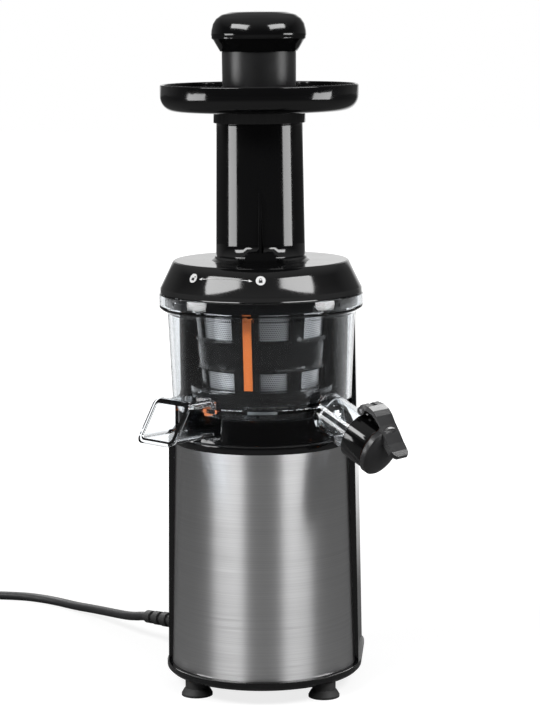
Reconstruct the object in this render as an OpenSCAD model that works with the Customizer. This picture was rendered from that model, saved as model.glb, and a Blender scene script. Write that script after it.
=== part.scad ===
// Cold press (slow) juicer: motor base, clear juicing bowl with two spouts, strainer with a
// turning wiper, auger, twist lid with feed chute, feed tray and food pusher.
// The origin is on the bowl's axis at table level. The front is -Y, up is +Z, millimetres.

/* [Feet and base tray] */
// Height of the rubber feet
foot_h = 11.8; // [9:0.1:15]
// Diameter of a foot's lip on the table
foot_d = 22.5; // [19:0.5:25]
// Diameter of a foot's stem
foot_stem_d = 17; // [14:0.5:18]
// Sideways distance from the middle to a foot
foot_x = 46; // [42:0.5:48]
// Distance from the middle to the front feet
foot_front_y = 38; // [34:0.5:40]
// Distance from the middle to the rear feet
foot_rear_y = 58; // [50:0.5:62]
// Thickness of the base tray
tray_t = 6.5; // [5:0.1:8]
// Half width of the base tray
tray_r = 71.5; // [71:0.1:73]
// Distance from the bowl's axis to the back of the housing
back_y = 82; // [80:0.5:90]
// Diameter of the screws under the base
screw_d = 3.2; // [2.5:0.1:4]

/* [Housing] */
// Height of the steel sleeve
sleeve_h = 163; // [156:1:175]
// Radius of the steel sleeve at its foot
sleeve_r0 = 67.8; // [67:0.1:68.5]
// Radius of the steel sleeve at its top
sleeve_r1 = 64; // [63.4:0.1:65]
// Thickness of the steel sheet
sheet_t = 0.8; // [0.5:0.1:1]
// Wall of the plastic shells
shell_t = 3; // [2.4:0.1:3.6]
// Half width of the rear housing at its foot
housing_w0 = 69.9; // [69.5:0.1:70.6]
// Half width of the rear housing at the tower's top
housing_w1 = 66.4; // [66:0.1:67]
// Height of the tower's top above the deck
tower_h = 87.7; // [70:0.5:89]
// Distance from the side plane to the seam between sleeve and housing
seam_y = 9.3; // [6:0.1:12]
// Radius of the housing's rear corners
corner_r = 30; // [22:1:34]

/* [Deck and collar] */
// Radius of the deck ring on top of the sleeve
deck_r = 64.2; // [64:0.1:65]
// Height of the deck ring
deck_h = 6; // [5:0.5:8]
// Radius of the collar under the bowl
collar_r = 61.5; // [60.5:0.1:61.7]
// Height of the collar
collar_h = 18; // [17.5:0.5:21]

/* [Drive] */
// Module of the motor stage
stage1_m = 0.8; // [0.8:0.05:0.85]
// Module of the output stage
stage2_m = 1; // [0.98:0.01:1.04]
// Teeth of the two pinions
pinion_teeth = 12; // [12:1:12]
// Teeth of the two driven gears
wheel_teeth = 48; // [48:1:48]
// Face width of a gear in the gearbox
gear_w = 7; // [5:0.5:7.5]
// Radius of the output shaft
shaft_r = 6; // [5:0.1:6.5]
// Width across flats of the drive hexagon
hex_af = 10; // [8:0.1:10.2]
// Radius of the motor shaft
rotor_shaft_r = 3; // [2.5:0.1:3.2]
// Radius of the motor's stator
stator_r = 34; // [31:0.5:35]
// Height of the stator's laminations
stator_h = 52; // [40:1:56]
// Radius of the rotor
rotor_r = 20.5; // [18:0.5:21]

/* [Bowl] */
// Outer radius of the bowl wall at the floor
bowl_r0 = 64.9; // [64.7:0.1:65.5]
// Outer radius of the bowl wall under its rim
bowl_r1 = 67.7; // [67:0.1:68]
// Wall of the bowl
bowl_t = 2.6; // [2:0.1:3]
// Height from the bowl's floor to its rim
bowl_depth = 77.3; // [76:0.1:82]
// Outer radius of the bowl's rim band
rim_r = 73.5; // [73.3:0.1:75]
// Height of the rim band
rim_h = 11; // [10.5:0.1:12]
// Height of the skirt under the bowl's floor
skirt_h = 3.7; // [3:0.1:5]

/* [Spouts] */
// Direction of the juice spout, degrees from +X
juice_az = -35.5; // [-42:0.5:-30]
// Fall of the juice spout, degrees
juice_fall = 25; // [20:0.5:28]
// Outer diameter of the juice spout
spout_d = 30; // [27:0.5:31]
// Length of the juice spout from the bowl's wall to its black collar
spout_l = 25; // [22:0.5:34]
// Outer diameter of the black collar at the spout's end
spout_collar_d = 35; // [34.5:0.5:38]
// Length of the black collar
spout_collar_l = 19; // [14:0.5:22]
// Width of the lever strap on the drip cap
strap_w = 18; // [14:0.5:20]
// Direction of the pulp spout, degrees from +X
pulp_az = -130.5; // [-136:0.5:-126]
// Outer width of the pulp spout
duct_w = 34.4; // [30:0.1:36]
// Outer height of the pulp spout
duct_h = 27.4; // [26:0.1:28]
// Distance from the bowl's axis to the mouth's upper edge
duct_reach = 88.6; // [84:0.1:100]
// How much further the mouth's lower edge reaches
duct_slant = 17.5; // [10:0.1:20]
// Wall of the spouts
spout_t = 2.2; // [1.8:0.1:2.6]

/* [Strainer and wiper] */
// Inner radius of the strainer at its floor
strainer_r0 = 41; // [40.5:0.1:41.3]
// Inner radius of the strainer at its top
strainer_r1 = 46; // [45.5:0.1:46.3]
// Thickness of the perforated steel
mesh_t = 0.5; // [0.4:0.1:0.8]
// Wall of the strainer's frame
frame_t = 2.5; // [2:0.1:2.7]
// Number of windows around the strainer
windows = 7; // [6:1:8]
// Width of a bar between two windows, degrees
window_bar = 14; // [10:1:18]
// Width of a wiper post
post_w = 16; // [13:0.5:19]
// Width of a wiper blade
blade_w = 6; // [4:0.5:8]
// Direction of the front wiper post, degrees from +X
post_az = -96.2; // [-110:0.1:-85]

/* [Auger] */
// Module of the wiper's gears
wiper_m = 1.5; // [1.5:0.01:1.52]
// Teeth of the auger's gear
sun_teeth = 24; // [24:1:24]
// Teeth of the pinion between auger and wiper
planet_teeth = 18; // [18:1:18]
// Radius of the auger's core at its foot
core_r = 20; // [18:0.5:24]
// Turns of the auger's flight
flight_turns = 1.6; // [1.2:0.1:2]
// Radius of the pin on top of the auger
pin_r = 4; // [3.5:0.1:5]

/* [Lid and chute] */
// Outer radius of the lid
lid_r = 72.7; // [72:0.1:73.2]
// Radius of the lid's flat top
lid_top_r = 62.9; // [58:0.1:66]
// Height of the lid above the bowl's rim
lid_h = 23.4; // [20:0.1:28]
// Outer radius of the chute at its foot
chute_r0 = 32.2; // [31.8:0.1:33]
// Outer radius of the chute at its top
chute_r1 = 30.9; // [30.6:0.1:31.2]
// Height of the chute above the lid
chute_h = 106; // [90:1:120]
// Wall of the chute
chute_t = 2.7; // [2.2:0.1:2.8]

/* [Tray and pusher] */
// Outer radius of the feed tray
hopper_r = 71; // [64:0.5:78]
// Height of the feed tray from its underside to its rim
hopper_h = 19.5; // [18:0.5:26]
// Radius of the feed tray's rounded lower edge
hopper_round = 11; // [8:0.5:13]
// Outer radius of the pusher's stem at its top
stem_r = 26.5; // [25:0.1:26.7]
// Distance from the feed tray's rim to the pusher's knob
stem_show = 23; // [15:0.5:40]
// Outer radius of the pusher's knob
knob_r = 34; // [30:0.5:38]
// Height of the pusher's knob
knob_h = 28.5; // [26:0.5:32]

/* [Cord] */
// Diameter of the mains cord
cord_d = 7; // [6:0.5:8]

/* [Hidden] */

$fn = 96;                 // segments of a full circle
eps = 0.01;               // how far a cut runs past the face that it opens
far = 400;                // longer than anything that a cut has to pass
run_gap = 0.05;           // radial gap of a running fit
seat_gap = 0.3;           // gap between a lifted or turning piece and its seat
play = 0.5;               // gap between two pieces that pass each other

// Heights, from the table up
z_floor = foot_h + tray_t;
z_sleeve = z_floor + sleeve_h;
z_deck = z_sleeve + deck_h;
z_collar = z_deck + collar_h;
z_tower = z_deck + tower_h;
z_skirt = z_collar + seat_gap;
bowl_floor_t = 3;
z_bowl = z_skirt + skirt_h + bowl_floor_t;
z_rim = z_bowl + bowl_depth;
z_lid = z_rim + seat_gap;
z_lid_top = z_rim + lid_h;
z_chute = z_lid_top + chute_h;
z_hopper = z_chute + seat_gap;
z_hopper_rim = z_hopper + hopper_h;
z_knob = z_hopper_rim + stem_show;

screw_at = [[-50, 24], [50, 24], [-30, -46], [30, -46]];

// Housing
slope = (housing_w0 - housing_w1) / (z_tower - z_floor);
core_t = 2.5;
seam_gap = 0.3;
ledge = 5;                // depth of the jamb behind the seam
tower_front_y = 26;       // where the tower's arms end beside the bowl
bowl_way = 1.3;           // gap between the bowl and the tower
tower_round = 6;
recess_r = max(bowl_r0, bowl_r1) + bowl_way;

// Gear train: the output shaft is on the bowl's axis, the intermediate pin behind it
stage1_r = stage1_m * wheel_teeth / 2;
stage2_r = stage2_m * wheel_teeth / 2;
pinion1_r = stage1_m * pinion_teeth / 2;
pinion2_r = stage2_m * pinion_teeth / 2;
mid_y = stage2_r + pinion2_r;
motor_angle = -45;        // from the intermediate pin to the motor's shaft
motor_x = (stage1_r + pinion1_r) * cos(motor_angle);
motor_y = mid_y + (stage1_r + pinion1_r) * sin(motor_angle);
case_floor_t = 3;
gear_space = 1.5;         // gap between the gears of two levels
z_cover = z_collar - 33.3;
cover_t = 4;
z_case = z_cover - 2 * gear_w - 2 * gear_space - case_floor_t - 4;
z_gear1 = z_case + case_floor_t + 3;
z_gear2 = z_gear1 + gear_w + gear_space;
case_t = 3;
case_gap = 3;             // from the gears' tips to the case
mid_pin_r = 3;
bush_r = shaft_r + 3;
post_r = 5;
post_reach = 34;          // from the output shaft to the two front posts
post_behind = 29;         // from the intermediate pin to the rear post
post_at = [
    [post_reach * cos(-33), post_reach * sin(-33)], [post_reach * cos(165), post_reach * sin(165)],
    [0, mid_y + post_behind]
];
arm_from = 20;            // where the case's arms to its posts begin
arm_w = 8;
pressure = 25;
backlash = 0.16;          // share of a tooth's thickness that is left free
// Motor
bell_t = 4;
bell_skirt = 16;
z_bell_top = z_case - bell_t;
z_stator = z_case - bell_t - bell_skirt - stator_h;
z_bell = z_stator - bell_skirt - bell_t;
bearing_r = 8;
bearing_w = 6;
z_bearing_top = z_bell_top + 2 - bearing_w;
commutator_r = 11;
winding_r = rotor_r + 1.5;
fan_r = 28;
fan_h = 9;
damper_r = 5;
damper_reach = stator_r + 4;
damper_at = [for (a = [90, 210, 330])
    [motor_x + damper_reach * cos(a), motor_y + damper_reach * sin(a)]];

// Bowl
bowl_rise = bowl_depth - rim_h - 3.2;     // floor to the end of the plain wall
wall_lean = (bowl_r1 - bowl_r0) / bowl_rise;
skirt_r = bowl_r0 - 2.9;
rim_t = 2.2;
hub_r = 11;
gear_z = z_bowl + 1;
wiper_gear_w = 5.5;
sun_r = wiper_m * sun_teeth / 2;
planet_r = wiper_m * planet_teeth / 2;
ring_teeth = sun_teeth + 2 * planet_teeth;
ring_r = wiper_m * ring_teeth / 2;
planet_az = 60;
spout_r = spout_d / 2;
spout_drop = spout_r / cos(juice_fall) + 1.6;      // from the deck up to the spout's axis
spout_z = z_deck + spout_drop;
duct_z1 = z_bowl + 7.7;
duct_z0 = duct_z1 - duct_h;
duct_in = 20;             // inner end of the pulp channel under the floor
port_r0 = 24;
port_r1 = 38.5;
pulp_plug_r = 3.6;
pulp_plug_h = 3.4;
pulp_stem_r = 1.8;
pulp_stem_h = 1.6;
port_w = 22;

// Strainer, from its floor plate up
z_plate = gear_z + wiper_gear_w + 1;
plate_t = 3;
z_strainer = z_rim - 3.6;
strainer_lean = (strainer_r1 - strainer_r0) / (z_strainer - z_plate);
low_z0 = z_plate + plate_t + 0.4;
low_z1 = low_z0 + 13.6;
high_z0 = low_z1 + 21.6;
high_z1 = z_strainer - 6.5;
bar_az = -53;             // direction of one bar between windows
// Wiper
ring_out = ring_r + 6.5;
wiper_gap = 1.2;
post_t = 4;
post_in = mesh_t + frame_t + wiper_gap;    // from the strainer's inside to a post
wiper_z1 = gear_z + 10;
wiper_top = z_strainer - 2;
wiper_top_h = 5;
posts = 3;
// Auger
z_auger = z_plate + plate_t + play;
auger_h = z_strainer - 2 - z_auger;
auger_gap = 0.7;
spigot_r = 12.6;
spigot_h = 7;
pin_h = 13.5;
hex_clear_h = 17;

// Lid
lid_t = 3;
lid_flange = 4.1;
skirt_drop = 8.4;
lid_skirt_r = rim_r - rim_t - 1.6;
lug_r = rim_r - rim_t - seat_gap;
lug_h = 2.2;
lugs = 4;
lug_arc = 20;
bush_top = z_lid + 8.4;
boss_w = 22;
boss_h = 8;
boss_turn = 4.5;          // how far the boss is turned from the front
// Tray and pusher
sleeve_drop = 8;
sleeve_t = 1.8;
hopper_t = 2.4;
z_stem = bush_top + seat_gap;
stem_taper = 0.8;
stem_t = 2.2;

// Juice spout's end, measured along its axis from where the axis meets the bowl's wall
collar_r_out = spout_collar_d / 2;
cap_l = spout_l + spout_collar_l;
hinge_up = collar_r_out + 3.4;
hinge_out = spout_l + 1.2;
hinge_r = 1.5;
ear_w = 4;
ear_r = 2.8;
knuckle_r = 3;
cap_t = 4.8;
cap_gap = 1.3;
cap_r = collar_r_out + 1.2;
// Side view of the cap's lever, [out along the spout, up across it], over the top and back under it
lever_line = [
    [hinge_out - 2.4, hinge_up + 2.6], [hinge_out - 0.6, hinge_up + 5], [31, 27], [36, 26.2], [40, 24.2],
    [45.5, 19.8], [51.5, 15.8], [57, 11.6], [62, 8.4], [66, 6.8], [66.6, 5.6], [66, 4.4], [61, 5.2],
    [56, 7.4], [52, 9.4], [46.4, 14.4], [45.4, 18.9], [40, 21.8], [35.5, 23.3], [31, 23.6], [29, 22.4]
];
tab_end = 66.8;
tab_round = 6;

// Switch and board, on the rear wall
switch_z = z_floor + 112;
switch_w = 30;
switch_h = 22;
rocker_r = 12;
rocker_y = back_y - 3;
pivot_r = 1.5;
board_w = 64;
board_h = 54;
board_z = z_floor + 44;

// Cord: the gland sits in the housing's rear left corner
gland_az = 152;
gland_z = z_floor + 7.8;
gland_at = [
    -(housing_w0 - corner_r) + corner_r * cos(gland_az),
    back_y - corner_r + corner_r * sin(gland_az)
];
gland_dir = 135;
gland_fall = 5;
gland_l = 48;
gland_r = 6;
cord_route = [
    [-99.7, 99.4, 21.9], [-104.5, 104.6, 20.8], [-110, 111.3, 18.9], [-117, 121, 16.6], [-125, 133, 14.4],
    [-133, 145, 12.5], [-141, 157, 10.6], [-150, 170, 8.6], [-159, 182, 6.8], [-168, 193, 5.2],
    [-178, 204, 4.1], [-190, 215, 3.6], [-204, 224, 3.6], [-220, 231, 3.6], [-238, 234, 3.6],
    [-256, 235, 3.6], [-272, 234, 3.6], [-286, 232.4, 3.6]
];
coil_at = [-306, 273];
coil_r = 38;
plug_l = 34;
plug_w = 14;
plug_ahead = 22;          // how far the plug lies beyond the coil's middle

// ---- Outlines and shapes that repeat ----

function arc(centre, r, a0, a1, steps) =
    [for (i = [0 : steps]) let (a = a0 + (a1 - a0) * i / steps) centre + r * [cos(a), sin(a)]];

// Straight sides, a rounded back, and a front that is round or cut off at front_y
module back_plan(half_w, depth, corner, front_y) {
    polygon(concat(
        arc([half_w - corner, depth - corner], corner, 0, 90, 16),
        arc([corner - half_w, depth - corner], corner, 90, 180, 16),
        [[-half_w, front_y], [half_w, front_y]]
    ));
}

module d_plan(half_w, depth, corner) {
    polygon(concat(
        arc([half_w - corner, depth - corner], corner, 0, 90, 16),
        arc([corner - half_w, depth - corner], corner, 90, 180, 16),
        arc([0, 0], half_w, 180, 360, 60)
    ));
}

module slab(z, h) {
    translate([0, 0, z]) linear_extrude(h) children();
}

module tube(r_out, r_in, z, h) {
    translate([0, 0, z]) difference() {
        cylinder(r = r_out, h = h);
        translate([0, 0, -eps]) cylinder(r = r_in, h = h + 2 * eps);
    }
}

module cone_shell(r0, r1, wall, z, h) {
    translate([0, 0, z]) rotate_extrude()
        polygon([[r0 - wall, 0], [r0, 0], [r1, h], [r1 - wall, h]]);
}

module ring_sector(r0, r1, z0, z1, from, width) {
    rotate([0, 0, from]) rotate_extrude(angle = width)
        translate([r0, z0]) square([r1 - r0, z1 - z0]);
}

// Angle that an involute has swept where its radius is r
function swept(base, r) = let (t = sqrt(max(0, pow(r / base, 2) - 1))) t * 180 / PI - atan(t);

function at_angle(r, a) = r * [cos(a), sin(a)];

// Spur gear outline with a tooth centred on +X; slack thins the teeth, extra deepens the roots
module gear_outline(m, teeth, slack, tip = 1, root = 1.25) {
    pitch_r = m * teeth / 2;
    base = pitch_r * cos(pressure);
    root_r = pitch_r - root * m;
    start = max(base, root_r);
    lift = (pitch_r + tip * m - start) / 3;
    half = 90 / teeth * (1 - slack) + swept(base, pitch_r);
    radii = concat([root_r], [for (k = [0 : 3]) start + k * lift]);
    // Half the tooth's angle at each of those radii
    spread = concat([half - swept(base, start)], [for (k = [0 : 3]) half - swept(base, start + k * lift)]);
    first = start > root_r + eps ? 0 : 1;
    polygon([for (i = [0 : teeth - 1]) let (a = i * 360 / teeth) each concat(
        [for (k = [first : 4]) at_angle(radii[k], a - spread[k])],
        [for (k = [4 : -1 : first]) at_angle(radii[k], a + spread[k])]
    )]);
}

module gear(m, teeth, w, turn) {
    rotate([0, 0, turn]) linear_extrude(w) gear_outline(m, teeth, backlash);
}

// Local frame of the juice spout: +Z runs out along the spout, -X is its upper side
module at_spout() {
    rotate([0, 0, juice_az]) translate([bowl_r0, 0, spout_z]) rotate([0, 90 + juice_fall, 0])
        children();
}

// Local frame of the pulp spout: +X runs outwards from the bowl's axis
module at_duct() {
    rotate([0, 0, pulp_az]) children();
}

// Local frame of the cord's gland: +Z runs out of the housing
module at_gland() {
    translate([gland_at[0], gland_at[1], gland_z]) rotate([0, 90 + gland_fall, gland_dir]) children();
}

module at_motor() {
    translate([motor_x, motor_y, 0]) children();
}

// ---- Base ----

module foot(x, y) {
    color([0.08, 0.08, 0.08]) translate([x, y, 0]) rotate_extrude() polygon([
        [0, 1], [foot_stem_d / 2 - 2, 1], [foot_d / 2 - 1.2, 0], [foot_d / 2, 0], [foot_d / 2, 1.6],
        [foot_stem_d / 2 + 1, 4.6], [foot_stem_d / 2, 5.6], [foot_stem_d / 2, foot_h], [0, foot_h]
    ]);
}

module base_tray() {
    bevel = 2.5;
    vent_r = 26;
    color([0.1, 0.1, 0.1]) difference() {
        hull() {
            slab(foot_h, 1) d_plan(tray_r - bevel, back_y + 1.6 - bevel, corner_r);
            slab(foot_h + bevel, tray_t - bevel) d_plan(tray_r, back_y + 1.6, corner_r);
        }
        for (p = screw_at) translate([p[0], p[1], foot_h - eps])
            cylinder(d = screw_d, h = tray_t + 2 * eps);
        // Air slots under the motor's fan
        for (i = [-3 : 3]) translate([motor_x + i * 7 - 1.5, motor_y - vent_r / 2, foot_h - eps])
            cube([3, vent_r, tray_t + 2 * eps]);
    }
}

module base_screws() {
    head_h = 2;
    color("silver") for (p = screw_at) translate([p[0], p[1], foot_h - head_h]) {
        cylinder(r = screw_d, h = head_h);
        cylinder(d = screw_d, h = head_h + tray_t + 6);
    }
}

// Bosses that take the base screws; they stand on the tray inside the shells
module screw_boss(p, h) {
    translate([p[0], p[1], z_floor]) difference() {
        cylinder(r = screw_d / 2 + 2.4, h = h);
        translate([0, 0, -eps]) cylinder(d = screw_d, h = 6 + eps);
    }
}

module body_core() {
    r0 = sleeve_r0 - sheet_t;
    r1 = sleeve_r1 - sheet_t;
    color([0.15, 0.15, 0.15]) {
        difference() {
            cone_shell(r0, r1, core_t, z_floor, sleeve_h);
            translate([-far / 2, -seam_y - seam_gap, 0]) cube([far, far, far]);
        }
        // Two bosses for the front screws, each tied to the shell by a web
        for (p = [screw_at[2], screw_at[3]]) {
            screw_boss(p, 12);
            a = atan2(p[1], p[0]);
            translate([0, 0, z_floor]) rotate([0, 0, a])
                translate([norm(p) + screw_d / 2 + 2, -1, 0])
                    cube([r0 - core_t / 2 - norm(p) - screw_d / 2 - 2, 2, 12]);
        }
    }
}

module steel_sleeve() {
    color([0.66, 0.66, 0.67]) difference() {
        cone_shell(sleeve_r0, sleeve_r1, sheet_t, z_floor, sleeve_h);
        translate([-far / 2, -seam_y - seam_gap, 0]) cube([far, far, far]);
    }
}

// Half width of the rear housing at a height
function housing_w(z) = housing_w0 - slope * (z - z_floor);

module housing_solid() {
    hull() {
        slab(z_floor, 1) back_plan(housing_w(z_floor), back_y, corner_r, -seam_y);
        slab(z_tower - tower_round - 1, 1)
            back_plan(housing_w(z_tower - tower_round), back_y, corner_r, -seam_y);
        slab(z_tower - 1, 1)
            back_plan(housing_w(z_tower) - tower_round * 0.8, back_y - tower_round, corner_r, -seam_y);
    }
}

// Hollow inside the housing; the shelf round the deck and the wall behind the bowl stay
module housing_hollow() {
    bottom = z_floor - 1;
    top = z_tower - tower_round - 1;
    difference() {
        hull() {
            slab(bottom, 1)
                back_plan(housing_w(bottom) - shell_t, back_y - shell_t, corner_r - shell_t, ledge);
            slab(top, 1)
                back_plan(housing_w(top) - shell_t, back_y - shell_t, corner_r - shell_t, ledge);
        }
        slab(z_deck - shell_t, far) circle(r = recess_r + shell_t);
    }
}

module rear_housing() {
    jamb_x = sleeve_r1 - sheet_t - core_t - 1;
    color([0.09, 0.09, 0.09]) {
        difference() {
            difference() {
                housing_solid();
                // Room for the bowl, and the tower's front
                slab(z_deck, far) union() {
                    circle(r = recess_r);
                    translate([-far / 2, tower_front_y - far]) square([far, far]);
                }
                // Seat of the deck
                slab(z_sleeve, far) circle(r = deck_r + 0.1);
            }
            housing_hollow();
            // Way between the jambs behind the seams
            translate([-jamb_x, -seam_y - 1, z_floor - 2])
                cube([2 * jamb_x, seam_y + ledge + 2, z_sleeve - z_floor + 3]);
            // Switch cut-out and gland hole
            translate([-switch_w / 2, back_y - shell_t - 1, switch_z - switch_h / 2])
                cube([switch_w, shell_t + 2, switch_h]);
            at_gland() cylinder(r = gland_r - 1, h = 24, center = true);
            // Air slots low in the back
            for (i = [-4 : 4]) translate([i * 7 - 1.5, back_y - shell_t - 1, z_floor + 12])
                cube([3, shell_t + 2, 34]);
        }
        for (p = [screw_at[0], screw_at[1]]) screw_boss(p, 14);
        // Webs from those bosses to the shell
        for (p = [screw_at[0], screw_at[1]]) {
            from = abs(p[0]) + 2;
            translate([p[0] > 0 ? from : 2 - housing_w0, p[1] - 1, z_floor])
                cube([housing_w0 - 2 - from, 2, 14]);
        }
    }
}

module top_deck() {
    plate = 3;
    trough_w = duct_w + 2 * play;
    trough_z = duct_z0 - play;
    color([0.08, 0.08, 0.08]) difference() {
        union() {
            translate([0, 0, z_sleeve]) rotate_extrude() polygon([
                [deck_r - 4, 0], [deck_r, 0], [deck_r, deck_h - 1], [deck_r - 1, deck_h],
                [collar_r, deck_h], [collar_r, deck_h + collar_h - 1],
                [collar_r - 1, deck_h + collar_h], [0, deck_h + collar_h],
                [0, deck_h + collar_h - plate], [collar_r - plate, deck_h + collar_h - plate],
                [collar_r - plate, deck_h - plate], [deck_r - 4, deck_h - plate]
            ]);
            // Seat for the shaft's seal
            slab(z_collar - 8, 6) circle(r = shaft_r + 7);
            // Posts that carry the gearbox
            for (p = post_at) translate([p[0], p[1], z_cover + cover_t])
                cylinder(r = post_r, h = z_collar - plate / 2 - z_cover - cover_t);
            // Walls of the trough that lets the pulp channel in
            intersection() {
                at_duct() translate([duct_in - play - plate, -trough_w / 2 - plate, trough_z - plate])
                    cube([far, trough_w + 2 * plate, z_collar - trough_z + plate - eps]);
                slab(0, far) circle(r = collar_r - 0.5);
            }
        }
        at_duct() translate([duct_in - play, -trough_w / 2, trough_z])
            cube([far, trough_w, far]);
        slab(z_collar - 6, far) circle(r = shaft_r + 4);
        slab(z_collar - 9, far) circle(r = shaft_r + 1);
        for (p = post_at) translate([p[0], p[1], z_cover])
            cylinder(d = screw_d, h = 20);
    }
}

module shaft_seal() {
    color([0.87, 0.45, 0.15]) tube(shaft_r + 4, shaft_r + seat_gap, z_collar - 6, 5);
}

// ---- Motor ----

module motor_dampers() {
    color([0.12, 0.12, 0.12]) for (p = damper_at) translate([p[0], p[1], z_floor]) {
        cylinder(r = damper_r, h = z_bell - z_floor);
    }
}

module bell(z, skirt_z, bearing_z) {
    at_motor() difference() {
        union() {
            slab(z, bell_t) circle(r = stator_r);
            tube(stator_r, stator_r - 2.5, skirt_z, bell_skirt + eps);
            slab(bearing_z, bearing_w + 2) circle(r = bearing_r + 3);
        }
        slab(z - eps, far) circle(r = rotor_shaft_r + 2);
        slab(bearing_z - eps, bearing_w + eps) circle(r = bearing_r);
        // Air windows
        for (a = [0 : 60 : 300]) rotate([0, 0, a + 30]) translate([bearing_r + 6, -4, z - eps])
            cube([stator_r - bearing_r - 12, 8, bell_t + 2 * eps]);
    }
}

module motor_bell_lower() {
    color([0.7, 0.7, 0.72]) {
        bell(z_bell, z_bell + bell_t - eps, z_bell);
        for (p = damper_at) translate([p[0], p[1], z_bell]) cylinder(r = damper_r + 1, h = bell_t);
    }
}

module motor_bell_upper() {
    color([0.7, 0.7, 0.72]) bell(z_bell_top, z_bell_top - bell_skirt, z_bearing_top);
}

module motor_stator() {
    color([0.45, 0.46, 0.48]) at_motor() difference() {
        slab(z_stator, stator_h) circle(r = stator_r);
        slab(z_stator - eps, stator_h + 2 * eps) circle(r = rotor_r + 0.6);
        // Slots that the windings pass through
        for (a = [0 : 90 : 270]) rotate([0, 0, a + 45])
            slab(z_stator - eps, stator_h + 2 * eps) translate([rotor_r - 1, -5]) square([8, 10]);
    }
}

module motor_windings() {
    end_h = 9;
    r0 = winding_r;
    r1 = stator_r - 4;
    color([0.72, 0.42, 0.2]) at_motor() {
        tube(r1, r0, z_stator - end_h, end_h);
        tube(r1, r0, z_stator + stator_h, end_h);
        for (a = [0 : 90 : 270]) rotate([0, 0, a + 45])
            slab(z_stator - eps, stator_h + 2 * eps) translate([r0, -4.6]) square([5, 9.2]);
    }
}

module motor_bearings() {
    color([0.8, 0.8, 0.82]) at_motor() {
        tube(bearing_r, rotor_shaft_r + run_gap, z_bell + 2, bearing_w - 2);
        tube(bearing_r, rotor_shaft_r + run_gap, z_bearing_top + 2, bearing_w - 2);
    }
}

module carbon_brushes() {
    color([0.2, 0.2, 0.22]) at_motor() for (a = [0, 180]) rotate([0, 0, a])
        translate([commutator_r + seat_gap, -3, z_stator - 8])
            cube([winding_r - commutator_r - 2 * seat_gap, 6, 5]);
}

module motor_shaft() {
    color([0.75, 0.75, 0.77]) at_motor()
        slab(z_bell - fan_h - 3, z_gear1 + gear_w - z_bell + fan_h + 3) circle(r = rotor_shaft_r);
}

module rotor_core() {
    color([0.5, 0.5, 0.52]) at_motor() difference() {
        tube(rotor_r, rotor_shaft_r, z_stator, stator_h);
        for (a = [0 : 30 : 330]) rotate([0, 0, a])
            slab(z_stator - eps, stator_h + 2 * eps) translate([rotor_r - 3, -0.8]) square([4, 1.6]);
    }
}

module commutator() {
    color([0.75, 0.45, 0.25]) at_motor() tube(commutator_r, rotor_shaft_r, z_stator - 11, 10);
}

module cooling_fan() {
    blades = 11;
    z = z_bell - fan_h - 2;
    color([0.85, 0.85, 0.82]) at_motor() difference() {
        union() {
            slab(z + fan_h - 1.5, 1.5) circle(r = fan_r);
            slab(z, fan_h) circle(r = 8);
            for (i = [0 : blades - 1]) rotate([0, 0, i * 360 / blades])
                slab(z, fan_h - 1) translate([7, -0.8]) square([fan_r - 8, 1.6]);
        }
        slab(z - eps, fan_h + 2 * eps) circle(r = rotor_shaft_r);
    }
}

module motor_pinion() {
    color([0.8, 0.75, 0.5]) at_motor() difference() {
        translate([0, 0, z_gear1]) gear(stage1_m, pinion_teeth, gear_w, motor_angle + 180);
        slab(z_gear1 - eps, gear_w + 2 * eps) circle(r = rotor_shaft_r);
    }
}

// ---- Gearbox ----

module gearbox_outline(grow) {
    r_out = stage2_r + case_gap + grow;
    r_mid = stage1_r + case_gap + grow;
    circle(r = r_out);
    translate([0, mid_y]) circle(r = r_mid);
    translate([motor_x, motor_y]) circle(r = pinion1_r + case_gap + grow);
    polygon([[-r_out + 3, 4], [r_out - 3, 4], [r_mid - 3, mid_y], [3 - r_mid, mid_y]]);
}

module gearbox_ears() {
    for (p = post_at) translate([p[0], p[1]]) circle(r = post_r + 1);
}

module gearbox_case() {
    color([0.82, 0.82, 0.8]) difference() {
        union() {
            slab(z_case, z_cover - z_case) gearbox_outline(case_t);
            slab(z_cover - 4, 4) gearbox_ears();
            slab(z_cover - 4, 4) for (p = post_at) {
                a = atan2(p[1], p[0]);
                rotate([0, 0, a]) translate([arm_from, -arm_w / 2]) square([norm(p) - arm_from, arm_w]);
            }
        }
        difference() {
            slab(z_case + case_floor_t, far) gearbox_outline(0);
            // The output shaft's lower seat
            slab(z_case, z_gear2 - 1 - z_case) circle(r = shaft_r + 3.5);
            slab(z_case, z_gear1 - 0.5 - z_case) translate([0, mid_y]) circle(r = 6);
        }
        slab(z_case + 2, far) circle(r = shaft_r + run_gap);
        slab(z_case + 1, far) translate([0, mid_y]) circle(r = mid_pin_r);
        slab(z_case - eps, far) translate([motor_x, motor_y]) circle(r = rotor_shaft_r + 2);
        for (p = post_at) translate([p[0], p[1], z_case]) cylinder(d = screw_d, h = far);
    }
}

module gearbox_cover() {
    color([0.78, 0.78, 0.76]) difference() {
        slab(z_cover, cover_t) union() {
            gearbox_outline(case_t);
            gearbox_ears();
            for (p = post_at) rotate([0, 0, atan2(p[1], p[0])])
                translate([arm_from, -arm_w / 2]) square([norm(p) - arm_from, arm_w]);
        }
        slab(z_cover - eps, far) circle(r = bush_r);
        slab(z_cover - eps, 2) translate([0, mid_y]) circle(r = mid_pin_r);
        for (p = post_at) translate([p[0], p[1], z_cover - eps]) cylinder(d = screw_d, h = far);
    }
}

module gearbox_screws() {
    head_h = 2.4;
    color("silver") for (p = post_at) translate([p[0], p[1], z_cover - 4 - head_h]) {
        cylinder(r = screw_d, h = head_h);
        cylinder(d = screw_d, h = head_h + 18);
    }
}

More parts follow.
